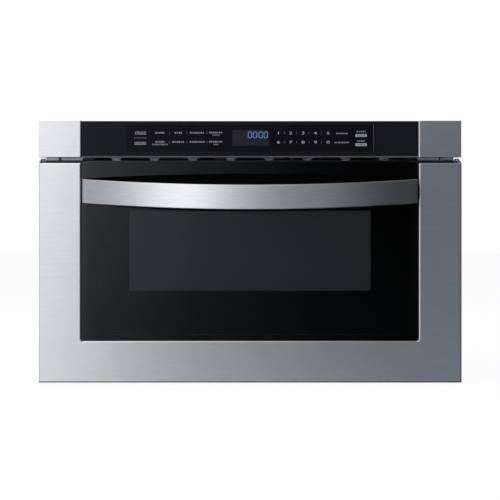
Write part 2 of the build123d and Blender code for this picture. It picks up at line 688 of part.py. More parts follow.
def window_screen():
    """Steel screen behind the window; its fine holes are a surface finish."""
    back = DOOR_BACK - INNER_GLASS
    return block(-CHOKE_IN_HALF, CHOKE_IN_HALF, back - SCREEN, back, CHOKE_IN_LOW, CHOKE_IN_TOP)


def inner_window():
    half = CHOKE_IN_HALF - SEAM
    return block(-half, half, DOOR_BACK - INNER_GLASS, DOOR_BACK, CHOKE_IN_LOW + SEAM, CHOKE_IN_TOP - SEAM)


def window_border():
    """Mask frame behind the glass that leaves the viewing window open."""
    half = OPENING_HALF - CORE_MARGIN - SEAM
    low = OPENING_LOW + CORE_MARGIN + SEAM
    plate = block(-half, half, GLASS_BACK, GLASS_BACK + CORE_SHEET, low, SPLIT_Z - 2 * CORE_SHEET)
    window = (DRAWER_LOW + WINDOW_LIFT, DRAWER_TOP - WINDOW_DROP)
    return plate - block(-WINDOW_HALF, WINDOW_HALF, FRONT, DOOR_BACK, *window)


def door_screw_places():
    x = FACE_HALF - CORE_MARGIN - 14
    top = CHOKE_IN_TOP + CHOKE_WIDTH / 2
    low = CHOKE_IN_LOW + CHOKE_WIDTH
    return [(s * x, z) for s in (-1, 1) for z in (low, (low + top) / 2, top)]


def door_screws():
    return group([screw_y(x, DOOR_BACK, z, DOOR_DEPTH / 3) for x, z in door_screw_places()])


# ---------------------------------------------------------------- basket and what carries the drawer
def basket():
    """Open pan that rides inside the cavity, fixed to the drawer front by its flange."""
    y0, y1 = DOOR_BACK, BASKET_BACK
    outer = block(-BASKET_HALF, BASKET_HALF, y0, y1, BASKET_LOW, BASKET_TOP)
    outer = fillet(outer.edges().filter_by(Axis.Z).group_by(Axis.Y)[-1], BASKET_CORNER)
    half = BASKET_HALF - BASKET_WALL
    inner = block(-half, half, y0 - 1, y1 - BASKET_WALL, BASKET_LOW + BASKET_WALL, BASKET_TOP + 1)
    inner = fillet(inner.edges().filter_by(Axis.Z).group_by(Axis.Y)[-1], BASKET_CORNER - BASKET_WALL)
    seat = DOOR_BACK + CHOKE_COVER
    flange = block(half, BASKET_HALF + BASKET_FLANGE, seat, seat + BASKET_WALL, BASKET_LOW, BASKET_TOP)
    return outer - inner + both(flange)


def basket_rim():
    """Moulded rim that clips over the basket's top edge."""
    y0, y1 = DOOR_BACK + CHOKE_COVER + BASKET_WALL, BASKET_BACK
    spread = (RIM - BASKET_WALL) / 2
    z0, z1 = BASKET_TOP - RIM, BASKET_TOP + BASKET_WALL

    def slab(grow, z_low, z_high, start, corner):
        body = block(-BASKET_HALF - grow, BASKET_HALF + grow, start, y1 + grow, z_low, z_high)
        return fillet(body.edges().filter_by(Axis.Z).group_by(Axis.Y)[-1], corner)

    whole = slab(spread, z0, z1, y0, BASKET_CORNER + spread)
    middle = slab(-BASKET_WALL - spread, z0 - 1, z1 + 1, y0 - 1, BASKET_CORNER - BASKET_WALL - spread)
    wall = slab(0, z0 - 1, BASKET_TOP, y0 - 1, BASKET_CORNER)
    wall_inside = slab(-BASKET_WALL, z0 - 2, z1 + 2, y0 - 2, BASKET_CORNER - BASKET_WALL)
    return whole - middle - (wall - wall_inside)


def basket_tray():
    """Flat ceramic plate in the bottom of the basket."""
    half = BASKET_HALF - BASKET_WALL - TRAY_GAP
    low = BASKET_LOW + BASKET_WALL
    plate = block(-half, half, DOOR_BACK + TRAY_GAP, BASKET_BACK - BASKET_WALL - TRAY_GAP, low, low + TRAY)
    plate = fillet(plate.edges().filter_by(Axis.Z), TRAY_CORNER)
    return fillet(plate.faces().sort_by(Axis.Z)[-1].edges(), TRAY / 4)


def channel(web_x, open_x, half_tall, length, start):
    """Slide member on the right-hand side: an upright web with two flanges."""
    x0, x1 = sorted((web_x, open_x))
    z0, z1 = SLIDE_CENTRE - half_tall, SLIDE_CENTRE + half_tall
    body = block(x0, x1, start, start + length, z0, z1)
    web_side = 1 if web_x > open_x else -1
    hollow_x = (x0 - 1, x1 - SLIDE_SHEET) if web_side > 0 else (x0 + SLIDE_SHEET, x1 + 1)
    return body - block(*hollow_x, start - 1, start + length + 1, z0 + SLIDE_SHEET, z1 - SLIDE_SHEET)


def slide_outer():
    return channel(INNER_HALF, INNER_HALF - SLIDE_WIDTH, SLIDE_HALF, SLIDE_LENGTH, SLIDE_Y)


def slide_middle():
    step = SLIDE_SHEET + SLIDE_CLEAR
    return channel(INNER_HALF - step, INNER_HALF - SLIDE_WIDTH, SLIDE_HALF - step, SLIDE_LENGTH, SLIDE_Y)


def slide_inner_web():
    return INNER_HALF - SLIDE_WIDTH - SLIDE_CLEAR


def slide_inner():
    step = 2 * (SLIDE_SHEET + SLIDE_CLEAR)
    return channel(slide_inner_web(), INNER_HALF - step, SLIDE_HALF - step, SLIDE_LENGTH, SLIDE_Y)


def slide_bracket():
    """Angle that joins the door core to a slide's inner member."""
    x = slide_inner_web()
    z0, z1 = BRACKET_LOW, BRACKET_LOW + BRACKET_TALL
    middle = BRACKET_LOW + BRACKET_TALL / 2
    arm = block(x - BRACKET_SHEET, x, DOOR_BACK, SLIDE_Y + BRACKET_LENGTH, z0, z1)
    foot = block(x - BRACKET_FOOT, x, DOOR_BACK, DOOR_BACK + BRACKET_SHEET, z0, z1)
    gusset = along_z(
        polygon(
            (x - BRACKET_FOOT / 2, DOOR_BACK + BRACKET_SHEET),
            (x - BRACKET_SHEET, DOOR_BACK + BRACKET_SHEET),
            (x - BRACKET_SHEET, DOOR_BACK + BRACKET_FOOT),
        ),
        middle - BRACKET_SHEET / 2,
        middle + BRACKET_SHEET / 2,
    )
    return arm + foot + gusset


def rack_length():
    return PINION_BACK - DOOR_DEPTH + TRAVEL + 3 * math.pi * MODULE


def drawer_rack():
    """Toothed bar behind the drawer front, with a foot on the door core."""
    pitch = math.pi * MODULE
    tip = RACK_PITCH_X + 0.95 * MODULE
    root = RACK_PITCH_X - 1.25 * MODULE
    slope = math.tan(math.radians(20))
    half_pitch_line = pitch / 4 - BACKLASH / 2
    half_tip = half_pitch_line - 0.95 * MODULE * slope
    half_root = half_pitch_line + 1.25 * MODULE * slope
    back = RACK_PITCH_X - RACK_BACK
    end = DOOR_BACK + rack_length()
    teeth = int(rack_length() / pitch) - 3
    first = PINION_Y - 2.5 * pitch
    points = [(back, DOOR_BACK), (root, DOOR_BACK)]
    for i in range(teeth):
        y = first + i * pitch
        if y + half_root > end:
            break
        points += [(root, y - half_root), (tip, y - half_tip), (tip, y + half_tip), (root, y + half_root)]
    points += [(root, end), (back, end)]
    bar = along_z(polygon(*points), RACK_LOW, RACK_LOW + RACK_TALL)
    foot = block(-18, 18, DOOR_BACK, DOOR_BACK + 4, RACK_LOW - 5, RACK_LOW + RACK_TALL + 5)
    return bar + foot


def involute_gear(teeth):
    """Flat gear outline with thinned involute teeth, one of them centred on +X."""
    pitch_r = MODULE * teeth / 2
    base_r = pitch_r * math.cos(math.radians(20))
    tip_r, root_r = pitch_r + MODULE, pitch_r - 1.25 * MODULE
    flank = math.tan(math.radians(20)) - math.radians(20)
    half = math.pi / (2 * teeth) - BACKLASH / (2 * pitch_r) + flank

    def angle_at(radius):
        if radius <= base_r:
            return half
        roll = math.sqrt((radius / base_r) ** 2 - 1)
        return half - (roll - math.atan(roll))

    steps = 4
    radii = [root_r] + [base_r + (tip_r - base_r) * i / steps for i in range(steps + 1)]
    points = []
    for tooth in range(teeth):
        centre = 2 * math.pi * tooth / teeth
        for r in radii:
            points.append((r * math.cos(centre - angle_at(r)), r * math.sin(centre - angle_at(r))))
        for r in reversed(radii):
            points.append((r * math.cos(centre + angle_at(r)), r * math.sin(centre + angle_at(r))))
    return polygon(*points)


def drive_pinion():
    gear = along_z(involute_gear(PINION_TEETH), RACK_LOW, RACK_LOW + RACK_TALL)
    gear = Pos(PINION_X, PINION_Y) * gear
    shaft = rod_z(PINION_X, PINION_Y, RACK_LOW - 13, RACK_LOW + RACK_TALL + 3, SHAFT_RADIUS)
    return gear + shaft


def drive_gearmotor():
    """Gearbox under the pinion with its motor lying beside it."""
    top = RACK_LOW - 2
    x0, y0 = PINION_X - GEARBOX_EDGE, PINION_Y - GEARBOX_EDGE
    x1, y1 = x0 + GEARBOX_SIZE[0], y0 + GEARBOX_SIZE[1]
    box = block(x0, x1, y0, y1, PAN_SHEET, top)
    box = fillet(box.edges().filter_by(Axis.Z), GEARBOX_CORNER)
    motor_z = PAN_SHEET + DRIVE_MOTOR_RADIUS + 0.5
    motor_end = x1 + DRIVE_MOTOR_LENGTH
    motor = rod_x(x1, motor_end, PINION_Y, motor_z, DRIVE_MOTOR_RADIUS)
    cap = rod_x(motor_end, motor_end + DRIVE_CAP[0], PINION_Y, motor_z, DRIVE_CAP[1])
    bore = rod_z(PINION_X, PINION_Y, RACK_LOW - 13 - 0.5, top + 1, SHAFT_RADIUS + RUN_CLEAR)
    return box + motor + cap - bore


def rack_guide():
    """Plastic rail that the rack runs in, opposite the pinion."""
    back = RACK_PITCH_X - RACK_BACK - CONTACT_GAP
    y0 = PINION_Y - GUIDE_LEAD
    y1 = y0 + GUIDE_LENGTH
    rail = block(back - GUIDE_WALL, back, y0, y1, PAN_SHEET, RACK_LOW + RACK_TALL)
    floor_end = PINION_X - GEARBOX_EDGE - 1
    floor = block(back - GUIDE_WALL, floor_end, y0, y1, PAN_SHEET, RACK_LOW - CONTACT_GAP)
    return rail + floor


def latch_hook():
    """Striker on the right of the door that works an interlock switch."""
    seat = DOOR_BACK + CHOKE_COVER
    wide, tall = LATCH_WIDTH / 2, LATCH_TALL / 2
    hook = block(LATCH_X - wide, LATCH_X + wide, seat, LATCH_END, LATCH_Z - tall, LATCH_Z + tall)
    hook = chamfer(hook.faces().sort_by(Axis.Y)[-1].edges().filter_by(Axis.X), 3)
    plate = (LATCH_X - 2 * wide, LATCH_X + 2 * wide, seat, seat + 1, LATCH_Z - 2 * tall, LATCH_Z + 2 * tall)
    return hook + block(*plate)


# ---------------------------------------------------------------- chassis
def rear_screw_places():
    high = BODY_HEIGHT - CASE_SHEET - PAN_FLANGE / 2
    low = PAN_SHEET + PAN_FLANGE / 2
    wide = INNER_HALF - PAN_FLANGE / 2
    across = [(x, z) for z in (low, high) for x in (-0.7 * wide, 0, 0.7 * wide)]
    up = [(s * wide, z) for s in (-1, 1) for z in (0.33 * BODY_HEIGHT, 0.75 * BODY_HEIGHT)]
    return across + up


def base_pan():
    y0, y1 = FRAME_BACK, REAR_Y
    pan = block(-INNER_HALF, INNER_HALF, y0, y1, 0, PAN_SHEET)
    side = block(INNER_HALF - PAN_SHEET, INNER_HALF, y0, y1, 0, PAN_FLANGE)
    back = block(-INNER_HALF, INNER_HALF, y1 - PAN_SHEET, y1, 0, PAN_SHEET + PAN_FLANGE)
    pan = pan + side + mirror(side, about=Plane.YZ) + back
    for x, z in rear_screw_places():
        if z < BODY_HEIGHT / 4:
            pan -= screw_hole_y(x, y1 - PAN_SHEET - 1, y1 + 1, z)
    return pan


def outer_cover():
    """Top and both sides in one folded sheet, with ribs, side slots and a flange for the rear panel."""
    y0, y1 = FRAME_BACK, REAR_Y
    t = CASE_SHEET
    cover = hollow(-BODY_HALF, BODY_HALF, y0, y1, 0, BODY_HEIGHT, t, ("-y", "+y", "-z"))
    flange = block(-INNER_HALF, INNER_HALF, y1 - t, y1, PAN_FLANGE + 2, BODY_HEIGHT - t)
    wide = INNER_HALF - PAN_FLANGE
    cover += flange - block(-wide, wide, y1 - 3, y1 + 1, 0, BODY_HEIGHT - t - PAN_FLANGE)
    for i in range(RIB_COUNT):
        x = (i - (RIB_COUNT - 1) / 2) * BODY_HALF * 2 / RIB_COUNT
        length = y1 - y0 - 2 * RIB_MARGIN
        middle = (y0 + y1) / 2
        outside = Pos(x, middle) * Rot(0, 0, 90) * SlotOverall(length, RIB_WIDTH)
        inside = Pos(x, middle) * Rot(0, 0, 90) * SlotOverall(length - 2 * t, RIB_WIDTH - 2 * t)
        cover += along_z(outside, BODY_HEIGHT - t, BODY_HEIGHT + RIB_RISE)
        cover -= along_z(inside, BODY_HEIGHT - t - 1, BODY_HEIGHT + RIB_RISE - t)
    for i in range(SIDE_SLOTS):
        y = y1 - SIDE_SLOT_BACK - i * SIDE_SLOT_PITCH
        slot = Rot(0, 0, 90) * SlotOverall(SIDE_SLOT[1], SIDE_SLOT[0])
        cover -= along_x(Pos(y, BODY_HEIGHT - SIDE_SLOT_DROP) * slot, INNER_HALF - 1, BODY_HALF + 1)
    cover -= both(block(INNER_HALF, BODY_HALF + 1, y0 - 1, y0 + COVER_SETBACK, -1, BODY_HEIGHT - t))
    for x, z in rear_screw_places():
        if z > BODY_HEIGHT / 4:
            cover -= screw_hole_y(x, y1 - t - 1, y1 + 1, z)
    for y, z in flange_screw_places():
        cover -= rod_x(-BODY_HALF - 1, BODY_HALF + 1, y, z, SCREW_SHANK + SCREW_CLEAR)
    return cover


def rear_panel():
    panel = block(-BODY_HALF, BODY_HALF, REAR_Y, BODY_BACK, 0, BODY_HEIGHT)
    for x, z in rear_screw_places():
        panel -= screw_hole_y(x, REAR_Y - 1, BODY_BACK + 1, z)
    slots = []
    for column in range(LOUVRE_COLUMNS):
        for row in range(LOUVRE_ROWS):
            x = (column - (LOUVRE_COLUMNS - 1) / 2) * LOUVRE_PITCH[0] - LOUVRE_SHIFT
            z = ABOVE_CAVITY + LOUVRE_LIFT + row * LOUVRE_PITCH[1]
            slots.append(along_y(Pos(x, z) * SlotOverall(*LOUVRE_SIZE), REAR_Y - 1, BODY_BACK + 1))
    return panel - slots - rod_y(GLAND_X, REAR_Y - 1, BODY_BACK + 1, GLAND_Z, GLAND_GROOVE)


def flange_screw_places():
    """Screws that hold a mounting flange to the case, as (y, z)."""
    y = FRAME_Y + FLANGE_LEG * 0.6
    return [(y, BODY_HEIGHT * share) for share in (0.3, 0.6, 0.9)]


def case_screws():
    """Screws of the rear panel and of both mounting flanges."""
    screws = [screw_y(x, BODY_BACK, z) for x, z in rear_screw_places()]
    outside = BODY_HALF + FLANGE_SHEET
    for y, z in flange_screw_places():
        one = Rot(0, 0, -90) * screw_y(-y, outside, z)
        screws += [one, mirror(one, about=Plane.YZ)]
    return group(screws)


def cord_gland():
    """Bush that the supply cord passes through."""
    outside = rod_y(GLAND_X, BODY_BACK, BODY_BACK + GLAND_REACH, GLAND_Z, GLAND_RADIUS)
    outside = fillet(outside.edges().filter_by(GeomType.CIRCLE).sort_by(Axis.Y)[-1], 2)
    neck = rod_y(GLAND_X, REAR_Y - 1, BODY_BACK, GLAND_Z, GLAND_GROOVE - SCREW_CLEAR)
    inside = rod_y(GLAND_X, REAR_Y - GLAND_NUT, REAR_Y, GLAND_Z, GLAND_RADIUS)
    bore = rod_y(GLAND_X, REAR_Y - GLAND_NUT - 1, BODY_BACK + GLAND_REACH + 1, GLAND_Z, GLAND_BORE)
    return outside + neck + inside - bore


def slot_places():
    return [(i - (SLOT_COUNT - 1) / 2) * SLOT_PITCH for i in range(SLOT_COUNT)]


def front_frame():
    """Sheet behind the drawer front: cavity opening, air slots, and ways for slides, rack and latches."""
    frame = block(-FRAME_HALF, FRAME_HALF, FRAME_Y, FRAME_BACK, 0, FRAME_HEIGHT)
    through = (FRAME_Y - 1, FRAME_BACK + 1)
    cuts = [block(-CAVITY_HALF, CAVITY_HALF, *through, CAVITY_LOW, CAVITY_TOP)]
    slot_top = control_low() - SLOT_TOP_INSET
    for x in slot_places():
        outline = Pos(x, slot_top - SLOT_TALL / 2) * RectangleRounded(SLOT_WIDTH, SLOT_TALL, SLOT_CORNER)
        cuts.append(along_y(outline, *through))
    slide_low, slide_high = SLIDE_CENTRE - SLIDE_HALF - 1, SLIDE_CENTRE + SLIDE_HALF + 1
    slide_in = slide_inner_web() - BRACKET_FOOT - 2
    for s in (-1, 1):
        cuts.append(block(*sorted((s * slide_in, s * (FRAME_HALF + 1))), *through, slide_low, slide_high))
        cuts.append(
            block(
                *sorted((s * (LATCH_X - LATCH_WIDTH - 2), s * (LATCH_X + LATCH_WIDTH + 2))), *through,
                LATCH_Z - LATCH_TALL - 2, LATCH_Z + LATCH_TALL + 2,
            )
        )
    room = RACK_TALL / 2
    gate = RACK_GATE / 2
    cuts.append(block(-gate, gate, *through, RACK_LOW - room, RACK_LOW + RACK_TALL + room))
    wires = FRAME_HALF - WIRE_GATE_SIDE
    rows = (control_low() + WIRE_GATE_RISE, BODY_HEIGHT - WIRE_GATE_DROP)
    cuts.append(block(-wires, wires, *through, *rows))
    return frame - cuts


def mount_flange():
    """Angle on the right of the body that is screwed to the cabinet's face."""
    y0 = FRAME_Y
    face = block(BODY_HALF, FLANGE_HALF, y0, y0 + FLANGE_SHEET, FLANGE_BOTTOM, FLANGE_TOP)
    rows = (FLANGE_BOTTOM, BODY_HEIGHT - FLANGE_BOTTOM)
    leg = block(BODY_HALF, BODY_HALF + FLANGE_SHEET, y0, y0 + FLANGE_LEG, *rows)
    flange = face + leg
    bend = flange.edges().filter_by(Axis.Z).sort_by(Axis.X)[:2].sort_by(Axis.Y)[0]
    flange = fillet(bend, 0.9 * FLANGE_SHEET)
    for y, z in flange_screw_places():
        flange -= rod_x(BODY_HALF - 1, BODY_HALF + FLANGE_SHEET + 1, y, z, SCREW_SHANK + SCREW_CLEAR)
    x = FLANGE_HALF - CABINET_HOLE_INSET
    for z in (CABINET_HOLE_LOW, FLANGE_TOP - CABINET_HOLE_DROP):
        flange -= rod_y(x, y0 - 1, y0 + FLANGE_SHEET + 1, z, CABINET_HOLE / 2)
    return flange


def oven_cavity():
    """Fixed box that the basket slides into, with a port for microwaves in its ceiling."""
    half = CAVITY_HALF + CAVITY_SHEET
    rows = (CAVITY_LOW - CAVITY_SHEET, ABOVE_CAVITY)
    cavity = hollow(-half, half, FRAME_BACK, CAVITY_BACK + CAVITY_SHEET, *rows, CAVITY_SHEET, ("-y",))
    return cavity - rod_z(0, CENTRE_Y, CAVITY_TOP - 1, ABOVE_CAVITY + 1, PORT_RADIUS)


def cavity_supports():
    """Stands under the cavity's rear corners."""
    t = SUPPORT_SHEET
    x = CAVITY_HALF - SUPPORT_SIDE
    y1 = CAVITY_BACK - SUPPORT_INSET
    y0 = y1 - SUPPORT_DEPTH
    z0, z1 = PAN_SHEET, CAVITY_LOW - CAVITY_SHEET
    stand = block(x, x + t, y0, y1, z0, z1)
    for z in (z0, z1 - t):
        stand += block(x, x + SUPPORT_WIDTH, y0, y1, z, z + t)
    return both(stand)


# ---------------------------------------------------------------- control panel
def control_low():
    """Lower edge of the touch glass, a little above the steel fascia's."""
    return FASCIA_LOW + TOUCH_LIFT


def fascia():
    """Right-hand steel end of the control fascia, whose inner leg stands on the front frame."""
    x0 = OPENING_HALF
    back = FASCIA_Y + FASCIA_RETURN
    corners = (x0 - FASCIA_HEIGHT, FACE_HALF, FASCIA_Y, back, FASCIA_LOW, FASCIA_TOP)
    keep = block(x0, FACE_WIDTH, FASCIA_Y, back, 0, 2 * FASCIA_TOP)
    keep = fillet(keep.edges().filter_by(Axis.Z).sort_by(Axis.X)[:2].sort_by(Axis.Y)[0], LIP_BEND)
    lip = block(0, x0 + FACE_SHEET, FASCIA_Y, back, 0, 2 * FASCIA_TOP)
    leg = block(x0, x0 + FACE_SHEET, back, FRAME_Y, FASCIA_LOW + FACE_SHEET, FASCIA_TOP - FACE_SHEET)
    return (soft_front(corners, FASCIA_ROUND) & keep) - (block(*tray_space(*corners)) - lip) + leg


def control_glass():
    half = OPENING_HALF - SEAM
    return block(-half, half, control_front(), control_back(), control_low(), FASCIA_TOP - SEAM)


def control_front():
    return FASCIA_Y + 2 * FACE_SHEET


def control_back():
    return control_front() + TOUCH_GLASS


def control_housing():
    """Moulded tray behind the touch glass, with a rail under the glass and posts for the circuit board."""
    half = OPENING_HALF - SEAM
    rows = (control_low() + HOUSING_LIFT, FASCIA_TOP - SEAM)
    tray = hollow(-half, half, control_back(), FRAME_Y, *rows, HOUSING_SHEET, ("-y",))
    rail_low = control_low() - RAIL_TALL
    web_back = control_back() + HOUSING_SHEET
    tray += block(-half, half, control_front() + RAIL_INSET, web_back, rail_low, control_low())
    tray += block(-half, half, control_back(), web_back, rail_low, rows[0] + HOUSING_SHEET)
    side = half * 2 / 3
    for x in (-side, 0, side):
        for z in (control_low() + BOSS_EDGE, FASCIA_TOP - BOSS_EDGE):
            tray += rod_y(x, control_back() + BOARD_STANDOFF, FRAME_Y - 1, z, BOSS_RADIUS)
    return tray


def control_board():
    y = control_back() + BOARD_STANDOFF
    half = OPENING_HALF - BOARD_SIDE_GAP
    return block(-half, half, y - BOARD_SHEET, y, control_low() + BOARD_EDGE, FASCIA_TOP - BOARD_EDGE)


def display_module():
    wide, tall = DISPLAY_SIZE[0] / 2, DISPLAY_SIZE[1] / 2
    z = (control_low() + FASCIA_TOP) / 2 + DISPLAY_RISE
    y0, y1 = control_back(), control_back() + BOARD_STANDOFF - BOARD_SHEET
    return block(-wide, wide, y0, y1, z - tall, z + tall)


# ---------------------------------------------------------------- microwave parts on the cavity's roof
def ceiling_cover():
    """Shallow dish under the ceiling that hides the stirrer."""
    w = DISH_WALL
    y0, y1 = CENTRE_Y - DISH_LENGTH / 2, CENTRE_Y + DISH_LENGTH / 2
    z0 = CAVITY_TOP - DISH_TALL
    outside = soft_block((-DISH_HALF, DISH_HALF, y0, y1, z0, CAVITY_TOP), Axis.Z, DISH_CORNER)
    room = (w - DISH_HALF, DISH_HALF - w, y0 + w, y1 - w, z0 + w, CAVITY_TOP + 1)
    return outside - soft_block(room, Axis.Z, DISH_CORNER - w)


def stirrer():
    """Four-bladed metal fan on a spindle that comes down from its motor."""
    z = CAVITY_TOP - STIRRER_DROP
    root, tip = 0.15 * STIRRER_REACH, 0.3 * STIRRER_REACH
    inner = STIRRER_HUB / 2
    outline = polygon((inner, -root), (STIRRER_REACH, -tip), (STIRRER_REACH, tip), (inner, root))
    blade = along_z(outline, z, z + CAVITY_SHEET)
    wheel = rod_z(0, 0, z, z + CAVITY_SHEET, STIRRER_HUB)
    wheel += rod_z(0, 0, z, GUIDE_TOP + SHAFT_DEPTH, SHAFT_RADIUS)
    for i in range(STIRRER_BLADES):
        wheel += Rot(0, 0, 360 / STIRRER_BLADES * i) * blade
    return Pos(0, CENTRE_Y) * wheel


def waveguide():
    """Rectangular duct from the magnetron to the port in the ceiling."""
    half = GUIDE_WIDTH / 2
    duct = hollow(-half, half, CENTRE_Y - half, YOKE_Y, ABOVE_CAVITY, GUIDE_TOP, GUIDE_SHEET)
    duct -= rod_z(0, CENTRE_Y, ABOVE_CAVITY - 1, ABOVE_CAVITY + GUIDE_SHEET + 1, PORT_RADIUS)
    duct -= rod_z(0, CENTRE_Y, GUIDE_TOP - GUIDE_SHEET - 1, GUIDE_TOP + 1, SHAFT_RADIUS + 2)
    return duct - rod_y(0, YOKE_Y - GUIDE_SHEET - 1, YOKE_Y + 1, ANTENNA_Z, ANTENNA_HOLE)


def stirrer_motor():
    body = rod_z(0, CENTRE_Y, GUIDE_TOP, GUIDE_TOP + STIRRER_MOTOR_TALL, STIRRER_MOTOR_RADIUS)
    reach = 1.5 * STIRRER_MOTOR_RADIUS
    ear = 0.3 * STIRRER_MOTOR_RADIUS
    ears = block(-reach, reach, CENTRE_Y - ear, CENTRE_Y + ear, GUIDE_TOP, GUIDE_TOP + GUIDE_SHEET)
    bore = rod_z(0, CENTRE_Y, GUIDE_TOP - 1, GUIDE_TOP + SHAFT_DEPTH + 1, SHAFT_RADIUS + RUN_CLEAR)
    return body + ears - bore


def magnetron_yoke():
    """Steel box round the magnets, open at both sides for the cooling air."""
    half = YOKE_WIDTH / 2
    frame = hollow(-half, half, YOKE_Y, YOKE_BACK, YOKE_LOW, YOKE_LOW + YOKE_TALL, YOKE_SHEET, ("-x", "+x"))
    frame -= rod_y(0, YOKE_Y - 1, YOKE_Y + YOKE_SHEET + 1, ANTENNA_Z, ANTENNA_HOLE)
    return frame - rod_y(0, YOKE_BACK - YOKE_SHEET - 1, YOKE_BACK + 1, ANODE_Z, 1.5 * STEM_RADIUS)


def magnetron_core():
    """Anode with its magnets, antenna and cathode stem."""
    y0, y1 = YOKE_Y + YOKE_SHEET, YOKE_BACK - YOKE_SHEET
    anode = rod_y(0, y0, y1, ANODE_Z, ANODE_RADIUS)
    magnets = rod_y(0, y0, y0 + MAGNET_THICK, ANODE_Z, MAGNET_RADIUS)
    magnets += rod_y(0, y1 - MAGNET_THICK, y1, ANODE_Z, MAGNET_RADIUS)
    antenna = rod_y(0, YOKE_Y - ANTENNA_REACH, y0 + 2, ANTENNA_Z, ANTENNA_RADIUS)
    stem = rod_y(0, y1 - 2, YOKE_BACK + STEM_REACH, ANODE_Z, STEM_RADIUS)
    return anode + magnets + antenna + stem


def magnetron_fins():
    half = YOKE_WIDTH / 2 - FIN_MARGIN
    rows = (YOKE_LOW + YOKE_SHEET + 0.5, YOKE_LOW + YOKE_TALL - YOKE_SHEET - 0.5)
    fins = []
    for i in range(FIN_COUNT):
        y = YOKE_Y + YOKE_DEPTH / 2 + (i - (FIN_COUNT - 1) / 2) * FIN_PITCH
        plate = block(-half, half, y - FIN_SHEET / 2, y + FIN_SHEET / 2, *rows)
        fins.append(plate - rod_y(0, y - 1, y + 1, ANODE_Z, ANODE_RADIUS + RUN_CLEAR))
    return group(fins)


def magnetron_filter_box():
    half, up = FILTER_WIDTH / 2, FILTER_TALL / 2
    box = block(-half, half, YOKE_BACK, YOKE_BACK + FILTER_DEPTH, ANODE_Z - up, ANODE_Z + up)
    return box - rod_y(0, YOKE_BACK - 1, YOKE_BACK + STEM_REACH + 2, ANODE_Z, STEM_RADIUS + SEAM)


def inverter_board():
    """Power board on four posts, with its soldered capacitors."""
    low = ABOVE_CAVITY + BOARD_POST
    board = block(BOARD_X, BOARD_X + BOARD_WIDTH, BOARD_Y, BOARD_Y + BOARD_LENGTH, low, BOARD_TOP)
    for x in (BOARD_X + POST_INSET, BOARD_X + BOARD_WIDTH - POST_INSET):
        for y in (BOARD_Y + POST_INSET, BOARD_Y + BOARD_LENGTH - POST_INSET):
            board += rod_z(x, y, ABOVE_CAVITY, low + BOARD_SHEET / 2, POST_RADIUS)
    for x, y, height, radius in CAPACITORS:
        board += rod_z(BOARD_X + x, BOARD_Y + y, low + BOARD_SHEET / 2, BOARD_TOP + height, radius)
    return board


def inverter_transformer():
    x, y = BOARD_X + CORE_PLACE[0], BOARD_Y + CORE_PLACE[1]
    wide, deep, tall = CORE_SIZE
    core = soft_block((x, x + wide, y, y + deep, BOARD_TOP, BOARD_TOP + tall), Axis.Z, 3)
    top = BOARD_TOP + tall
    return core + rod_z(x + wide / 2, y + deep / 2, top, top + WINDING_TALL, WINDING_RADIUS)


def inverter_heatsink():
    """Finned aluminium block."""
    x, y = BOARD_X + SINK_PLACE[0], BOARD_Y + SINK_PLACE[1]
    wide, deep, tall = SINK_SIZE
    sink = block(x, x + wide, y, y + deep, BOARD_TOP, BOARD_TOP + SINK_BASE)
    pitch = (wide - SINK_FIN) / (SINK_FINS - 1)
    for i in range(SINK_FINS):
        start = x + i * pitch
        sink += block(start, start + SINK_FIN, y, y + deep, BOARD_TOP + SINK_BASE / 2, BOARD_TOP + tall)
    return sink


def fan_shroud():
    """Upright plate with a ring that the fan runs in, blowing at the magnetron."""
    top = FAN_Z + FAN_RADIUS + 2 * FAN_WALL
    plate = block(FAN_X - FAN_WALL, FAN_X, FAN_Y - FAN_HALF, FAN_Y + FAN_HALF, ABOVE_CAVITY, top)
    tube = rod_x(FAN_X - FAN_DEPTH, FAN_X, FAN_Y, FAN_Z, FAN_RADIUS + FAN_WALL)
    return plate + tube - rod_x(FAN_X - FAN_DEPTH - 1, FAN_X + 1, FAN_Y, FAN_Z, FAN_RADIUS)


def fan_impeller():
    """Hub and five pitched blades on the motor's shaft."""
    hub_end = FAN_X - FAN_DEPTH - 4
    wheel = rod_x(hub_end, FAN_X, 0, 0, FAN_HUB) + rod_x(FAN_MOTOR_X - 4, hub_end, 0, 0, FAN_SHAFT)
    span = FAN_RADIUS - FAN_TIP_GAP - FAN_HUB + 2
    blade = block(-FIN_SHEET, FIN_SHEET, -FAN_CHORD / 2, FAN_CHORD / 2, 0, span)
    blade = Pos(FAN_X - FAN_DEPTH + 2, 0, FAN_HUB - 2) * Rot(0, 0, FAN_PITCH_ANGLE) * blade
    for i in range(FAN_BLADES):
        wheel += Rot(360 / FAN_BLADES * i, 0, 0) * blade
    return Pos(0, FAN_Y, FAN_Z) * wheel


def fan_motor():
    """Motor held behind the ring by two straps."""
    half = FAN_MOTOR / 2
    x0, x1 = FAN_MOTOR_X - FAN_MOTOR_DEPTH, FAN_MOTOR_X
    motor = soft_block((x0, x1, FAN_Y - half, FAN_Y + half, FAN_Z - half, FAN_Z + half), Axis.X, 5)
    reach = FAN_HALF - FAN_WALL
    for z in (FAN_Z - half * 2 / 3, FAN_Z + half * 2 / 3):
        rows = (z - FAN_ARM / 2, z + FAN_ARM / 2)
        motor += block(x1 - FAN_WALL, x1, FAN_Y - reach, FAN_Y + reach, *rows)
        motor += block(x1 - FAN_WALL, FAN_X - FAN_WALL, FAN_Y - reach, FAN_Y - reach + FAN_WALL, *rows)
        motor += block(x1 - FAN_WALL, FAN_X - FAN_WALL, FAN_Y + reach - FAN_WALL, FAN_Y + reach, *rows)
    return motor - rod_x(x1 - 10, x1 + 2, FAN_Y, FAN_Z, FAN_SHAFT + RUN_CLEAR)


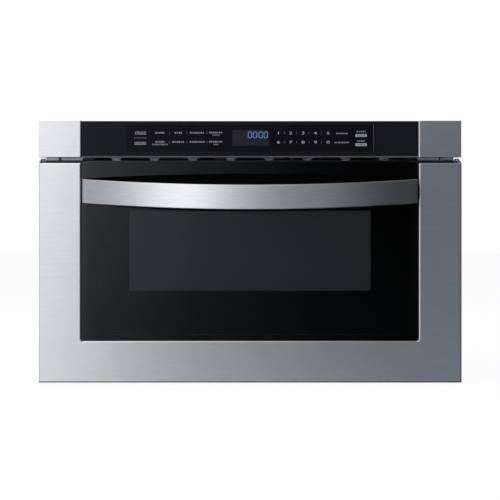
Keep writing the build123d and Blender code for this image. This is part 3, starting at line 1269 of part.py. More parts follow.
def air_baffle():
    """Sheet that keeps the incoming and outgoing air apart."""
    end = YOKE_BACK + 2
    wall = block(BAFFLE_X, BAFFLE_X + CASE_SHEET, FRAME_BACK, end, ABOVE_CAVITY, BODY_HEIGHT - CASE_SHEET)
    foot = block(BAFFLE_X, BAFFLE_X + PAN_FLANGE, FRAME_BACK, end, ABOVE_CAVITY, ABOVE_CAVITY + CASE_SHEET)
    return wall + foot


def interlock_bracket():
    x0, x1 = CAVITY_HALF + 4, INNER_HALF - 4
    low = LATCH_Z - SWITCH_BELOW
    under = low - SWITCH_SHEET
    wall = block(x0, x1, FRAME_BACK, FRAME_BACK + SWITCH_SHEET, under, LATCH_Z + 1.5 * LATCH_TALL)
    wide, tall = LATCH_WIDTH / 2 + 3, LATCH_TALL / 2 + 2
    through = (FRAME_BACK - 1, FRAME_BACK + SWITCH_SHEET + 1)
    hole = block(LATCH_X - wide, LATCH_X + wide, *through, LATCH_Z - tall, LATCH_Z + tall)
    shelf = block(x0, x1, FRAME_BACK, LATCH_END + SWITCH_REACH + 4, under, low)
    return wall - hole + shelf


def switch_bore_y():
    return LATCH_END + CONTACT_GAP + PLUNGER_LENGTH - 5


def interlock_switch():
    low = LATCH_Z - SWITCH_BELOW
    half = SWITCH_WIDTH / 2
    end = LATCH_END + SWITCH_REACH
    body = block(LATCH_X - half, LATCH_X + half, switch_bore_y(), end, low, low + SWITCH_TALL)
    blade = SWITCH_BLADE[0] / 2
    for share in (0.2, 0.52, 0.84):
        z = low + share * SWITCH_TALL
        body += block(LATCH_X - blade, LATCH_X + blade, end, end + SWITCH_BLADE[1], z, z + SWITCH_BLADE[2])
    return body - rod_y(LATCH_X, switch_bore_y() - 1, LATCH_END + 20, LATCH_Z, PLUNGER_RADIUS + RUN_CLEAR)


def switch_plunger():
    y = LATCH_END + CONTACT_GAP
    rod = rod_y(LATCH_X, y, y + PLUNGER_LENGTH, LATCH_Z, PLUNGER_RADIUS)
    return fillet(rod.edges().filter_by(GeomType.CIRCLE).sort_by(Axis.Y)[0], PLUNGER_RADIUS / 2)


# ---------------------------------------------------------------- every node, by name
def right_and_left(name, shape):
    return {name + "_right": shape, name + "_left": mirror(shape, about=Plane.YZ)}


def all_nodes():
    bar = handle_bar()
    nodes = {
        "drawer_front": drawer_front(),
        "front_glass": front_glass(),
        "window_border": window_border(),
        "handle_trim": handle_trim(),
        "handle_bar": bar,
        "handle_mounts": handle_mounts(bar),
        "handle_screws": handle_screws(),
        "door_core": door_core(),
        "choke_frame": choke_frame(),
        "choke_cover": choke_cover(),
        "window_screen": window_screen(),
        "inner_window": inner_window(),
        "door_screws": door_screws(),
        "basket": basket(),
        "basket_rim": basket_rim(),
        "basket_tray": basket_tray(),
        "slide_outers": both(slide_outer()),
        "slide_inners": both(slide_inner()),
        "slide_brackets": both(slide_bracket()),
        "drawer_rack": drawer_rack(),
        "latch_hooks": both(latch_hook()),
        "drive_pinion": drive_pinion(),
        "drive_gearmotor": drive_gearmotor(),
        "rack_guide": rack_guide(),
        "base_pan": base_pan(),
        "outer_cover": outer_cover(),
        "rear_panel": rear_panel(),
        "case_screws": case_screws(),
        "cord_gland": cord_gland(),
        "front_frame": front_frame(),
        "mount_flanges": both(mount_flange()),
        "oven_cavity": oven_cavity(),
        "cavity_supports": cavity_supports(),
        "control_glass": control_glass(),
        "control_housing": control_housing(),
        "control_board": control_board(),
        "display_module": display_module(),
        "ceiling_cover": ceiling_cover(),
        "stirrer": stirrer(),
        "stirrer_motor": stirrer_motor(),
        "waveguide": waveguide(),
        "magnetron_yoke": magnetron_yoke(),
        "magnetron_core": magnetron_core(),
        "magnetron_fins": magnetron_fins(),
        "magnetron_filter_box": magnetron_filter_box(),
        "inverter_board": inverter_board(),
        "inverter_transformer": inverter_transformer(),
        "inverter_heatsink": inverter_heatsink(),
        "fan_shroud": fan_shroud(),
        "fan_impeller": fan_impeller(),
        "fan_motor": fan_motor(),
        "air_baffle": air_baffle(),
        "interlock_brackets": both(interlock_bracket()),
        "interlock_switches": both(interlock_switch()),
    }
    nodes |= right_and_left("fascia", fascia())
    nodes |= right_and_left("slide_middle", slide_middle())
    nodes |= right_and_left("switch_plunger", switch_plunger())
    return nodes


def main():
    os.makedirs("parts", exist_ok=True)
    for name, shape in all_nodes().items():
        export_step(shape, f"parts/{name}.step")


if __name__ == "__main__":
    main()
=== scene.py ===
import math

import bmesh
import bpy
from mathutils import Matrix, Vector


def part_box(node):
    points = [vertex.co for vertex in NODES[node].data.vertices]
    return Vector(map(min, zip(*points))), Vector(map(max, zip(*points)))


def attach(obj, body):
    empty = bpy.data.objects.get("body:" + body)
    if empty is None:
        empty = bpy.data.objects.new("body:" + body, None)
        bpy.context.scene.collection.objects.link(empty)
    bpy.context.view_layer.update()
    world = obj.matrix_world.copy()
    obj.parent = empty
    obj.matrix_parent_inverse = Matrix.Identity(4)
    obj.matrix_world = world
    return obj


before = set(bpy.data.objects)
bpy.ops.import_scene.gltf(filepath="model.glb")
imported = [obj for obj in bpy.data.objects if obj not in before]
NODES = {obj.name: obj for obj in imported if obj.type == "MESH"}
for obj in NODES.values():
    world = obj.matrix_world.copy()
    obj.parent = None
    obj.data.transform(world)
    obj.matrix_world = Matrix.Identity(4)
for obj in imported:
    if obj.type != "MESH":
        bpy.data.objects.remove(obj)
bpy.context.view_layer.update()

MM = 0.001

# ---------------------------------------------------------------- places taken from the frame
FACE_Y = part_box("drawer_front")[0].y
TOUCH_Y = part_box("control_glass")[0].y

# ---------------------------------------------------------------- camera and studio, in metres
CAMERA_DISTANCE = 1.8
CAMERA_HEIGHT = 0.1923
LENS_MM = 90.6
CLIP_END = 100.0
FLOOR_REACH = 200.0
FLOOR_GLOW = 0.93  # share of plain white in what a camera, mirror or pane sees of the floor
WORLD_SOFT_LIGHT = 0.55
LAMP_AIM = (0, 0, 0.2)
# Each lamp's name, place, side and power.
LAMPS = (
    ("key_lamp", (-1.6, -1.9, 1.9), 1.6, 36),
    ("fill_lamp", (1.9, -1.5, 1.4), 1.8, 8),
    ("top_lamp", (0, 0.4, 2.6), 2.2, 22),
)
DOME_RADIUS = 2.0
DOME_STRENGTH = 1.8
# Rises above the level, in degrees, between which one part of the dome turns into the next.
BAND_SPLIT = (-6, 7)
ROOM_SPLIT = (-14, 14)
BAND_EDGE = (10.5, 14.5)
DIM_BELOW = (-36, -22)
DIM_LEVEL = 0.04
BEHIND_SHARE = (0.3, 0.7)  # how far back, against the dome's radius, the part behind the object begins
COOL_REACH = 1.4  # levels above one over this stay neutral
COOL_TINT = (-0.20, -0.05, 0.14)  # red, green and blue that the darkest level gains
# What a reflection meets at angles across the view, from the left at -90 degrees to the right at 90: pairs of
# an angle and a share of the dome's strength. Glass mirrors the level band, in two halves, and brushed metal
# gathers what is above and below it. The levels are tuned until reflections match the photograph's.
BAND_HIGH = (
    (-90, 1.0), (-72, 1.0), (-62, 0.29), (-50, 0.12), (-44, 0.18), (-34, 0.42), (-26, 0.70), (-17, 0.93),
    (-15, 0.75), (-14, 0.46), (-8.6, 0.27), (-4.4, 0.16), (0, 0.09), (4.4, 0.03), (8.6, 0.01), (14.2, 0.006),
    (15.6, 0.09), (23, 0.11), (31, 0.05), (40, 0.015), (90, 0.05),
)
BAND_LOW = (
    (-90, 1.0), (-72, 1.0), (-62, 0.29), (-50, 0.12), (-44, 0.18), (-34, 0.40), (-26, 0.65), (-17, 0.80),
    (-15, 0.60), (-14, 0.27), (-8.6, 0.18), (-4.4, 0.10), (0, 0.075), (4.4, 0.047), (8.6, 0.032),
    (14.2, 0.018), (15.6, 0.16), (23, 0.16), (31, 0.05), (40, 0.02), (90, 0.05),
)
ROOM_HIGH = (
    (-90, 1.0), (-72, 1.0), (-62, 0.29), (-50, 0.11), (-44, 0.17), (-36, 0.32), (-28, 0.64), (-22, 0.86),
    (-17.5, 1.21), (-15.5, 1.00), (-13, 0.75), (-8.6, 0.55), (-4, 0.47), (0, 0.45), (8.6, 0.305), (16, 0.125),
    (23, 0.12), (31, 0.07), (40, 0.015), (60, 0.010), (90, 0.05),
)
ROOM_LOW = (
    (-90, 0.9), (-72, 0.9), (-62, 0.27), (-50, 0.11), (-44, 0.17), (-36, 0.30), (-28, 0.55), (-22, 0.68),
    (-17.5, 0.74), (-15.5, 0.70), (-13, 0.60), (-8.6, 0.49), (-4, 0.45), (0, 0.45), (8.6, 0.355), (16, 0.20),
    (23, 0.15), (31, 0.08), (40, 0.015), (60, 0.010), (90, 0.05),
)
BEHIND_LEVELS = ((-90, 1.0), (-40, 0.9), (0, 0.52), (30, 0.36), (60, 0.16), (90, 0.05))

# ---------------------------------------------------------------- where a piece's finish changes to one with painted shade
RECESS_LINE_MM = 1.2  # how far behind the trim's front its matt faces begin, whose missing shine is painted shade
EAR_LINE_MM = 22.0  # how far behind the steel's front its ears begin, whose darker steel is painted shade, and above what height
EAR_LOW_MM = 318.0

# ---------------------------------------------------------------- marks on the touch panel, in millimetres
KEY_FIELD_X_MM = (-177.5, 179.9)
KEY_FIELD_Z_MM = (333.5, 372.1)
MARK_LIFT_MM = 0.03  # ink above the glass
INK_MM = 0.02
LETTER_SHARES = (0.60, 0.42, 0.54, 0.66, 0.38)  # letter blocks against their pitch, over and over
CORNER_SHARE = 0.25
FIGURE_SHARE = 0.74  # hollow figures against their pitch
UPPER_ROW_MM = 359.9
LOWER_ROW_MM = 346.8
# Each key's name: middle, height above its row, width, height of the letters, and how many there are.
WORDS_UPPER_MM = (
    (-129.2, 0.6, 14.6, 2.3, 5), (-103.1, 0.6, 11.4, 2.3, 4), (-76.0, 0.6, 21.0, 2.3, 7),
    (-49.1, 0.9, 19.6, 2.2, 7), (131.8, -0.4, 16.8, 1.8, 6),
)
WORDS_LOWER_MM = (
    (-129.2, 0.8, 14.2, 2.3, 5), (-103.1, 0.6, 17.4, 2.3, 6), (-75.8, 0.6, 22.2, 2.3, 8),
    (-49.1, 0.8, 20.0, 2.2, 7), (132.0, -0.2, 21.6, 1.8, 10),
)
SMALL_WORDS_UPPER_MM = ((-48.9, -2.8, 11.0, 1.6, 8), (159.6, 2.5, 13.8, 1.9, 5))
SMALL_WORDS_LOWER_MM = ((-129.2, -3.0, 22.6, 1.9, 13), (-48.5, -3.0, 8.0, 1.8, 5), (159.2, 1.9, 11.8, 1.9, 4))
DRAWER_KEYS_MM = ((-157.0, 0.2, 16.2, 3.9, 4), (-157.4, -1.4, 17.0, 3.9, 5))
DRAWER_KEY_STROKE_MM = 0.5
DRAWER_KEYS_BAR_MM = (-157.2, 353.4, 18.4, 1.7, 10)
BARS_MM = (-115.3, -90.4, -61.8)
DIGIT_BARS_MM = (49.3, 66.8, 84.6, 102.5)
DIGIT_COLUMNS_MM = (40.9, 58.4, 76.2, 93.9, 112.1)
DIGIT_TALL_MM = 3.8
DIGIT_STRETCH = 1.8
DIGIT_SWELL_MM = 0.02
FIGURE_IN_FONT = 0.7  # a figure's height against its font's size
LINE_CORNER_MM = 0.3
SEPARATOR_MM = (0.4, 0.8, 3.4)  # height above its row, width, height
FIELD_LINE_MM = (177.4, 0.6, 38.3)  # line at the right of the key field: place, width, height
PILL_X_MM = 159.4
PILL_MM = (16.5, 4.0)
PILL_CORNER_MM = 1.0
PILL_DROPS_MM = (3.2, 3.3)  # below the upper and the lower row
PILL_WORD_MM = (11.0, 2.0, 6)  # width, height, and how many letters
CLOCK_MM = ((0.0, 7.2, 15.3, 22.7), 357.6)  # middles of the four figures, and their height
CLOCK_DIGIT_MM = (4.9, 8.4)
SEGMENT_MM = 0.85
CLOCK_SLANT = 0.06
COLON_DOT_MM = 0.7
COLON_CORNER_MM = 0.3
CLOCK_WINDOW_MM = (0.6, 353.3, 52.1, 22.7)  # middle, width and height
CLOCK_WINDOW_CORNER_MM = 0.6


# ---------------------------------------------------------------- helpers
def linear(code):
    """An sRGB hex colour as linear red, green, blue and alpha."""
    parts = [int(code[i:i + 2], 16) / 255 for i in (1, 3, 5)]
    return [c / 12.92 if c <= 0.04045 else ((c + 0.055) / 1.055) ** 2.4 for c in parts] + [1.0]


def per_metre(size_mm):
    """Scale at which a pattern repeats every size_mm."""
    return 1000 / size_mm


def feed(tree, node, inputs):
    """Sets a node's sockets to values, or links them to the sockets given."""
    for socket, value in inputs.items():
        if isinstance(value, bpy.types.NodeSocket):
            tree.links.new(value, node.inputs[socket])
        else:
            node.inputs[socket].default_value = value


def add(tree, kind, inputs, **settings):
    """Adds a node with its settings, and feeds its sockets."""
    node = tree.nodes.new(kind)
    for field, value in settings.items():
        setattr(node, field, value)
    feed(tree, node, inputs)
    return node


def new_material(name, **inputs):
    """A material whose shader has these constant inputs, with words joined by an underscore."""
    material = bpy.data.materials.new(name)
    material.use_nodes = True
    tree = material.node_tree
    shader = tree.nodes["Principled BSDF"]
    feed(tree, shader, {key.replace("_", " "): value for key, value in inputs.items()})
    place = add(tree, "ShaderNodeTexCoord", {}).outputs["Object"]
    return material, tree, shader, place


MIX = {"data_type": "RGBA"}
FACTOR, FIRST, SECOND, MIXED = 0, 6, 7, 2  # the colour Mix node's sockets


def mottled(tree, shader, place, size_mm, dark, light, rough=None, bump=0.0, detail=3.0, stretch=(1, 1, 1)):
    """Lets a noise of the given grain vary a shader's colour, its roughness and its relief."""
    mapped = add(tree, "ShaderNodeMapping", {"Vector": place, "Scale": stretch}).outputs["Vector"]
    noise = add(tree, "ShaderNodeTexNoise", {"Vector": mapped, "Scale": per_metre(size_mm), "Detail": detail})
    grain = noise.outputs["Fac"]
    colour = add(tree, "ShaderNodeMix", {FACTOR: grain, FIRST: linear(dark), SECOND: linear(light)}, **MIX)
    feed(tree, shader, {"Base Color": colour.outputs[MIXED]})
    if rough:
        spread = add(tree, "ShaderNodeMapRange", {"Value": grain, "To Min": rough[0], "To Max": rough[1]})
        feed(tree, shader, {"Roughness": spread.outputs["Result"]})
    if bump:
        relief = add(tree, "ShaderNodeBump", {"Height": grain, "Distance": bump * MM, "Strength": 1.0})
        feed(tree, shader, {"Normal": relief.outputs["Normal"]})
    return grain


# ---------------------------------------------------------------- metals
def brushed_stainless(name, dark, light, rough, streak_mm):
    """Stainless steel brushed along X: soft reflections drawn out up and down, with level streaks and clouds.
    The real grain is about 0.1 mm wide; it is drawn at 1 mm, so that it shows."""
    material, tree, shader, place = new_material(
        name, Metallic=1.0, Anisotropic=0.5, Anisotropic_Rotation=0.25
    )
    tangent = add(tree, "ShaderNodeTangent", {}, direction_type="RADIAL", axis="Z")
    feed(tree, shader, {"Tangent": tangent.outputs["Tangent"]})
    grain = mottled(tree, shader, place, 1.0, dark, light, rough, 0.002, 3.0, (0.04, 0.04, 1))
    level = add(tree, "ShaderNodeMapping", {"Vector": place, "Scale": (0.12, 0.12, 1)}).outputs["Vector"]
    streak = {"Vector": level, "Scale": per_metre(streak_mm), "Detail": 2.0, "Roughness": 0.6}
    streaks = add(tree, "ShaderNodeTexNoise", streak).outputs["Fac"]
    both = {0: grain, 1: streaks}
    mean = add(tree, "ShaderNodeMath", {0: add(tree, "ShaderNodeMath", both).outputs["Value"], 1: 0.5},
               operation="MULTIPLY").outputs["Value"]
    contrast = {"Value": mean, "From Min": 0.36, "From Max": 0.64}
    tone = add(tree, "ShaderNodeMapRange", contrast).outputs["Result"]
    colour = add(tree, "ShaderNodeMix", {FACTOR: tone, FIRST: linear(dark), SECOND: linear(light)}, **MIX)
    feed(tree, shader, {"Base Color": colour.outputs[MIXED]})
    return material


def galvanised_steel():
    """Hot-dip galvanised sheet: grey zinc with a faint spangle of crystals 6 mm across."""
    material, tree, shader, place = new_material("galvanised_steel_sheet", Metallic=1.0)
    crystals = add(tree, "ShaderNodeTexVoronoi", {"Vector": place, "Scale": per_metre(6.0)})
    tone = add(tree, "ShaderNodeSeparateColor", {"Color": crystals.outputs["Color"]}).outputs["Red"]
    shades = {FACTOR: tone, FIRST: linear("#a9acb0"), SECOND: linear("#babdc1")}
    colour = add(tree, "ShaderNodeMix", shades, **MIX)
    spread = add(tree, "ShaderNodeMapRange", {"Value": tone, "To Min": 0.38, "To Max": 0.52})
    feed(tree, shader, {"Base Color": colour.outputs[MIXED], "Roughness": spread.outputs["Result"]})
    return material


def zinc_flake_coat():
    """Pale zinc-flake paint on the front frame round the drawer: half metal, half binder, finely grained."""
    material, tree, shader, place = new_material("zinc_flake_coat", Metallic=0.5, IOR=1.5)
    mottled(tree, shader, place, 1.2, "#dcdee2", "#e6e8eb", (0.30, 0.42), 0.005)
    return material


def mill_stainless():
    """Stainless on the folded ears, duller and a darker grey: the darker grey is painted shade for the shadow
    the ears sit in.
    """
    material, tree, shader, place = new_material("ear_stainless_painted_shade", Metallic=1.0)
    mottled(tree, shader, place, 1.5, "#8f9194", "#9b9da0", (0.46, 0.58), 0.003)
    return material


def aluminised_sheet():
    """Aluminised sheet of the mounting flanges: pale and satin, with rolling marks up and down."""
    material, tree, shader, place = new_material("aluminised_sheet", Metallic=1.0)
    mottled(tree, shader, place, 1.2, "#c2c4c8", "#cdced2", (0.30, 0.42), 0.003, 3.0, (1, 1, 0.03))
    return material


def rolled_zinc_steel():
    """Zinc-plated cold-rolled steel of the slides: bright, with fine marks along the rolling direction, Y."""
    material, tree, shader, place = new_material("zinc_plated_rolled_steel", Metallic=1.0)
    mottled(tree, shader, place, 1.2, "#b9bcc0", "#cfd1d4", (0.24, 0.36), 0.003, 3.0, (1, 0.02, 1))
    return material


def zinc_screw():
    """Screws with a bright zinc plate: slightly uneven, cool grey."""
    material, tree, shader, place = new_material("bright_zinc_plate", Metallic=1.0)
    mottled(tree, shader, place, 1.5, "#b4b6b8", "#d6d7d6", (0.18, 0.32))
    return material


def bare_aluminium():
    """Rolled and extruded aluminium: pale, satin, with soft marks along its length."""
    material, tree, shader, place = new_material("bare_aluminium", Metallic=1.0)
    mottled(tree, shader, place, 0.8, "#cfd1d3", "#e2e3e4", (0.28, 0.42), 0.003, 3.0, (1, 1, 0.05))
    return material


def powder_coat():
    """Black powder coat baked on the door's sheet: dark grey with a fine orange peel of about 1 mm."""
    material, tree, shader, place = new_material("black_powder_coat", IOR=1.5)
    mottled(tree, shader, place, 1.1, "#1b1c1e", "#242527", (0.42, 0.52), 0.02)
    return material


def cavity_enamel():
    """Grey vitreous enamel inside the oven: smooth and hard, with sparse dark specks under 1 mm."""
    material, tree, shader, place = new_material("grey_vitreous_enamel", IOR=1.5)
    specks = add(tree, "ShaderNodeTexVoronoi", {"Vector": place, "Scale": per_metre(2.4)}).outputs["Distance"]
    near = add(tree, "ShaderNodeMapRange", {"Value": specks, "From Min": 0.10, "From Max": 0.16})
    colour = {FACTOR: near.outputs["Result"], FIRST: linear("#5d5f62"), SECOND: linear("#8d9093")}
    feed(tree, shader, {"Base Color": add(tree, "ShaderNodeMix", colour, **MIX).outputs[MIXED]})
    cloud = add(tree, "ShaderNodeTexNoise", {"Vector": place, "Scale": per_metre(60)}).outputs["Fac"]
    spread = add(tree, "ShaderNodeMapRange", {"Value": cloud, "To Min": 0.16, "To Max": 0.24})
    feed(tree, shader, {"Roughness": spread.outputs["Result"]})
    return material


# ---------------------------------------------------------------- glass and ceramic
def tinted_glass():
    """Grey-tinted float glass of the drawer's front: clear enough to show the screen behind its window."""
    material, tree, shader, place = new_material(
        "grey_tinted_float_glass", IOR=1.5, Roughness=0.0, Transmission_Weight=1.0
    )
    noise = {"Vector": place, "Scale": per_metre(90), "Detail": 1.0}
    cloud = add(tree, "ShaderNodeTexNoise", noise).outputs["Fac"]
    colour = {FACTOR: cloud, FIRST: linear("#8f9196"), SECOND: linear("#95979c")}
    feed(tree, shader, {"Base Color": add(tree, "ShaderNodeMix", colour, **MIX).outputs[MIXED]})
    return material


def touch_glass():
    """Glass painted black on its back, with a low-gloss front: the key field in the middle is a
    bit deeper."""
    material, tree, shader, place = new_material(
        "back_painted_touch_glass", IOR=1.5, Specular_IOR_Level=0.07
    )
    axes = add(tree, "ShaderNodeSeparateXYZ", {"Vector": place}).outputs
    inside = None
    for axis, (low, high) in (("X", KEY_FIELD_X_MM), ("Z", KEY_FIELD_Z_MM)):
        above = add(tree, "ShaderNodeMath", {0: axes[axis], 1: low * MM}, operation="GREATER_THAN")
        below = add(tree, "ShaderNodeMath", {0: axes[axis], 1: high * MM}, operation="LESS_THAN")
        both = {0: above.outputs["Value"], 1: below.outputs["Value"]}
        strip = add(tree, "ShaderNodeMath", both, operation="MULTIPLY").outputs["Value"]
        if inside:
            strip = add(tree, "ShaderNodeMath", {0: inside, 1: strip}, operation="MULTIPLY").outputs["Value"]
        inside = strip
    colour = {FACTOR: inside, FIRST: linear("#17181c"), SECOND: linear("#101014")}
    feed(tree, shader, {"Base Color": add(tree, "ShaderNodeMix", colour, **MIX).outputs[MIXED]})
    haze = add(tree, "ShaderNodeTexNoise", {"Vector": place, "Scale": per_metre(30)}).outputs["Fac"]
    spread = add(tree, "ShaderNodeMapRange", {"Value": haze, "To Min": 0.05, "To Max": 0.08})
    feed(tree, shader, {"Roughness": spread.outputs["Result"]})
    return material


def clear_glass():
    """Clear tempered pane inside the door, with the green of thick glass."""
    material, tree, shader, place = new_material(
        "clear_tempered_glass", IOR=1.5, Roughness=0.0, Transmission_Weight=1.0
    )
    noise = {"Vector": place, "Scale": per_metre(80), "Detail": 1.0}
    cloud = add(tree, "ShaderNodeTexNoise", noise).outputs["Fac"]
    colour = {FACTOR: cloud, FIRST: linear("#e6efea"), SECOND: linear("#edf4f0")}
    feed(tree, shader, {"Base Color": add(tree, "ShaderNodeMix", colour, **MIX).outputs[MIXED]})
    return material


def glazed_tray():
    """Glazed ceramic tray on the basket's floor: off-white, glossy, with a soft cloud in the glaze."""
    material, tree, shader, place = new_material("glazed_ceramic_tray", IOR=1.52)
    mottled(tree, shader, place, 26.0, "#d9d6cd", "#e6e3db", (0.10, 0.18), 0.02)
    return material


def printed_mask():
    """Black ceramic ink fired on the back of the front glass: flat and dense, with tiny pores."""
    material, tree, shader, place = new_material("fired_black_ink", IOR=1.5)
    mottled(tree, shader, place, 12.0, "#040405", "#060607", (0.5, 0.6))
    return material


def perforated_screen():
    """Black-coated steel screen behind the window, with rows of round holes. Such screens have a pitch of
    about 1.6 mm; it is drawn at 1.8 mm, so that it shows."""
    material, tree, shader, place = new_material("black_perforated_screen", IOR=1.5, Roughness=0.5)
    holes = add(tree, "ShaderNodeTexVoronoi", {"Vector": place, "Scale": per_metre(1.8), "Randomness": 0.0})
    edge = {"Value": holes.outputs["Distance"], "From Min": 0.30, "From Max": 0.42}
    web = add(tree, "ShaderNodeMapRange", edge).outputs["Result"]
    colour = {FACTOR: web, FIRST: linear("#3b3c42"), SECOND: linear("#54555c")}
    feed(tree, shader, {"Base Color": add(tree, "ShaderNodeMix", colour, **MIX).outputs[MIXED]})
    return material


# ---------------------------------------------------------------- plastics and small parts
def piano_black():
    """High-gloss black ABS pull trim: mirror-like, with the faintest waviness of a moulded panel."""
    material, tree, shader, place = new_material("piano_black_abs", IOR=1.5)
    mottled(tree, shader, place, 60.0, "#020203", "#040405", (0.04, 0.07))
    return material


def recess_black():
    """Inside of the finger recess: spark-eroded matt black, with its shine turned nearly off as painted
    shade, so that the recess shows as black as the shadow in it.
    """
    material, tree, shader, place = new_material("matt_black_abs_painted_shade", IOR=1.46, Specular_IOR_Level=0.1)
    mottled(tree, shader, place, 1.2, "#020202", "#040404", (0.7, 0.85), 0.02)
    return material


def finish_behind(piece, depth_mm, finish, above_mm=0.0):
    """Gives another finish to the faces of a piece that lie this much behind its front, above a height."""
    mesh = piece.data
    mesh.materials.append(finish)
    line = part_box(piece.name)[0].y + depth_mm * MM
    for face in mesh.polygons:
        if face.center.y > line and face.center.z > above_mm * MM:
            face.material_index = len(mesh.materials) - 1


def moulded_plastic(name, dark, light, rough, grain_mm=0.9, relief=0.015):
    """Injection-moulded plastic with a fine spark-eroded texture."""
    material, tree, shader, place = new_material(name, IOR=1.46)
    mottled(tree, shader, place, grain_mm, dark, light, rough, relief)
    return material


def circuit_board():
    """Glass-epoxy board with green solder mask over copper tracks 1 mm wide."""
    material, tree, shader, place = new_material("green_solder_mask", IOR=1.55)
    turned = add(tree, "ShaderNodeMapping", {"Vector": place, "Rotation": (math.pi / 2, 0, 0)})
    pattern = {
        "Vector": turned.outputs["Vector"], "Scale": per_metre(5.0), "Mortar Size": 0.10,
        "Color1": linear("#0d4a2a"), "Color2": linear("#10552f"), "Mortar": linear("#2f7d4d"),
        "Brick Width": 1.6, "Row Height": 0.7,
    }
    tracks = add(tree, "ShaderNodeTexBrick", pattern)
    feed(tree, shader, {"Base Color": tracks.outputs["Color"]})
    relief = add(tree, "ShaderNodeBump", {"Height": tracks.outputs["Fac"], "Distance": 0.05 * MM})
    feed(tree, shader, {"Normal": relief.outputs["Normal"], "Roughness": 0.32})
    return material


def ferrite():
    """Pressed ferrite cores and magnets: near-black, matt, slightly gritty."""
    material, tree, shader, place = new_material("pressed_ferrite", IOR=1.6)
    mottled(tree, shader, place, 1.6, "#2a2a2c", "#38383a", (0.55, 0.7), 0.03)
    return material


def mica_sheet():
    """Phlogopite mica cover under the stirrer: warm grey layers with a soft silky glint."""
    material, tree, shader, place = new_material("phlogopite_mica", IOR=1.58)
    mottled(tree, shader, place, 7.0, "#a8a091", "#c4bcab", (0.32, 0.5), 0.03, 6.0)
    return material


def smoked_window():
    """Smoked acrylic over the clock: a shade lighter than the panel round it, dusty violet."""
    material, tree, shader, place = new_material("smoked_acrylic", IOR=1.49)
    mottled(tree, shader, place, 0.6, "#17181e", "#1c1d23", (0.1, 0.16))
    return material


def screen_ink(name, dark, light):
    """Silk-screen ink of the key marks: flat, slightly worn through at the grain."""
    material, tree, shader, place = new_material(name, IOR=1.5)
    mottled(tree, shader, place, 0.3, dark, light, (0.5, 0.65))
    return material


def clock_glow():
    """Vacuum-fluorescent segments: blue-violet light that varies a little in a fine noise."""
    material, tree, shader, place = new_material("fluorescent_segments", Roughness=0.5, Emission_Strength=0.9)
    mesh_grid = add(tree, "ShaderNodeTexNoise", {"Vector": place, "Scale": per_metre(1.2)}).outputs["Fac"]
    colour = {FACTOR: mesh_grid, FIRST: linear("#627cd0"), SECOND: linear("#7a94e0")}
    glow = add(tree, "ShaderNodeMix", colour, **MIX).outputs[MIXED]
    feed(tree, shader, {"Base Color": linear("#0a0a10"), "Emission Color": glow})
    return material


# ---------------------------------------------------------------- the CAD pieces' finishes
def dress_nodes():
    """Gives every CAD node its finish."""
    black = moulded_plastic("black_moulded_abs", "#141416", "#1c1c1e", (0.42, 0.55))
    grey = moulded_plastic("grey_moulded_abs", "#5c5d60", "#66676a", (0.40, 0.52))
    acetal = moulded_plastic("white_acetal", "#d6d5cf", "#e2e1dc", (0.30, 0.42), 2.0, 0.006)
    wear = {
        "drawer_front fascia_left fascia_right": brushed_stainless(
            "brushed_stainless_steel", "#d0d0d2", "#d7d8d9", (0.28, 0.33), 5.0
        ),
        # the handle's steel is a lighter copy of the front's: its extra lightness is a painted highlight
        "handle_bar": brushed_stainless("brushed_handle_steel_painted_highlight", "#e6e6e7", "#f2f2f3", (0.33, 0.42), 2.4),
        "base_pan outer_cover rear_panel waveguide magnetron_yoke choke_frame slide_brackets cavity_supports "
        "air_baffle interlock_brackets": galvanised_steel(),
        "front_frame": zinc_flake_coat(),
        "mount_flanges": aluminised_sheet(),
        "slide_outers slide_middle_left slide_middle_right slide_inners": rolled_zinc_steel(),
        "handle_screws door_screws case_screws": zinc_screw(),
        "stirrer magnetron_fins magnetron_filter_box inverter_heatsink": bare_aluminium(),
        "door_core fan_motor": powder_coat(),
        "oven_cavity basket": cavity_enamel(),
        "front_glass": tinted_glass(),
        "control_glass": touch_glass(),
        "inner_window": clear_glass(),
        "basket_tray": glazed_tray(),
        "window_border": printed_mask(),
        "window_screen": perforated_screen(),
        "handle_trim handle_mounts": piano_black(),
        "choke_cover cord_gland rack_guide fan_shroud interlock_switches": black,
        "basket_rim drive_gearmotor stirrer_motor fan_impeller": grey,
        "control_housing": moulded_plastic("dark_grey_moulded_abs", "#4e5055", "#575a5f", (0.40, 0.52)),
        "drawer_rack drive_pinion latch_hooks switch_plunger_left switch_plunger_right": acetal,
        "control_board inverter_board": circuit_board(),
        "magnetron_core inverter_transformer": ferrite(),
        "ceiling_cover": mica_sheet(),
        "display_module": smoked_window(),
    }
    for names, finish in wear.items():
        for name in names.split():
            slots = NODES[name].data.materials
            slots.clear()
            slots.append(finish)
    # the recess faces get a near-shineless black as painted shade
    finish_behind(NODES["handle_trim"], RECESS_LINE_MM, recess_black())
    # the ears get a darker steel as painted shade
    finish_behind(NODES["drawer_front"], EAR_LINE_MM, mill_stainless(), EAR_LOW_MM)


# ---------------------------------------------------------------- printed marks and the clock
def flat_piece(name, outlines, thick_mm, finish, lift_mm=MARK_LIFT_MM):
    """Thin raised shapes on the touch glass, each from an outline of (x, z) points in millimetres."""
    mesh = bmesh.new()
    front = TOUCH_Y - lift_mm * MM
    for outline in outlines:
        corners = [mesh.verts.new((x * MM, front, z * MM)) for x, z in outline]
        face = mesh.faces.new(corners)
        grown = bmesh.ops.extrude_face_region(mesh, geom=[face])["geom"]
        moved = [v for v in grown if isinstance(v, bmesh.types.BMVert)]
        bmesh.ops.translate(mesh, verts=moved, vec=(0, thick_mm * MM, 0))
    bmesh.ops.recalc_face_normals(mesh, faces=mesh.faces)
    data = bpy.data.meshes.new(name)
    mesh.to_mesh(data)
    mesh.free()
    data.materials.append(finish)
    piece = bpy.data.objects.new(name, data)
    bpy.context.collection.objects.link(piece)
    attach(piece, "chassis")
    return piece


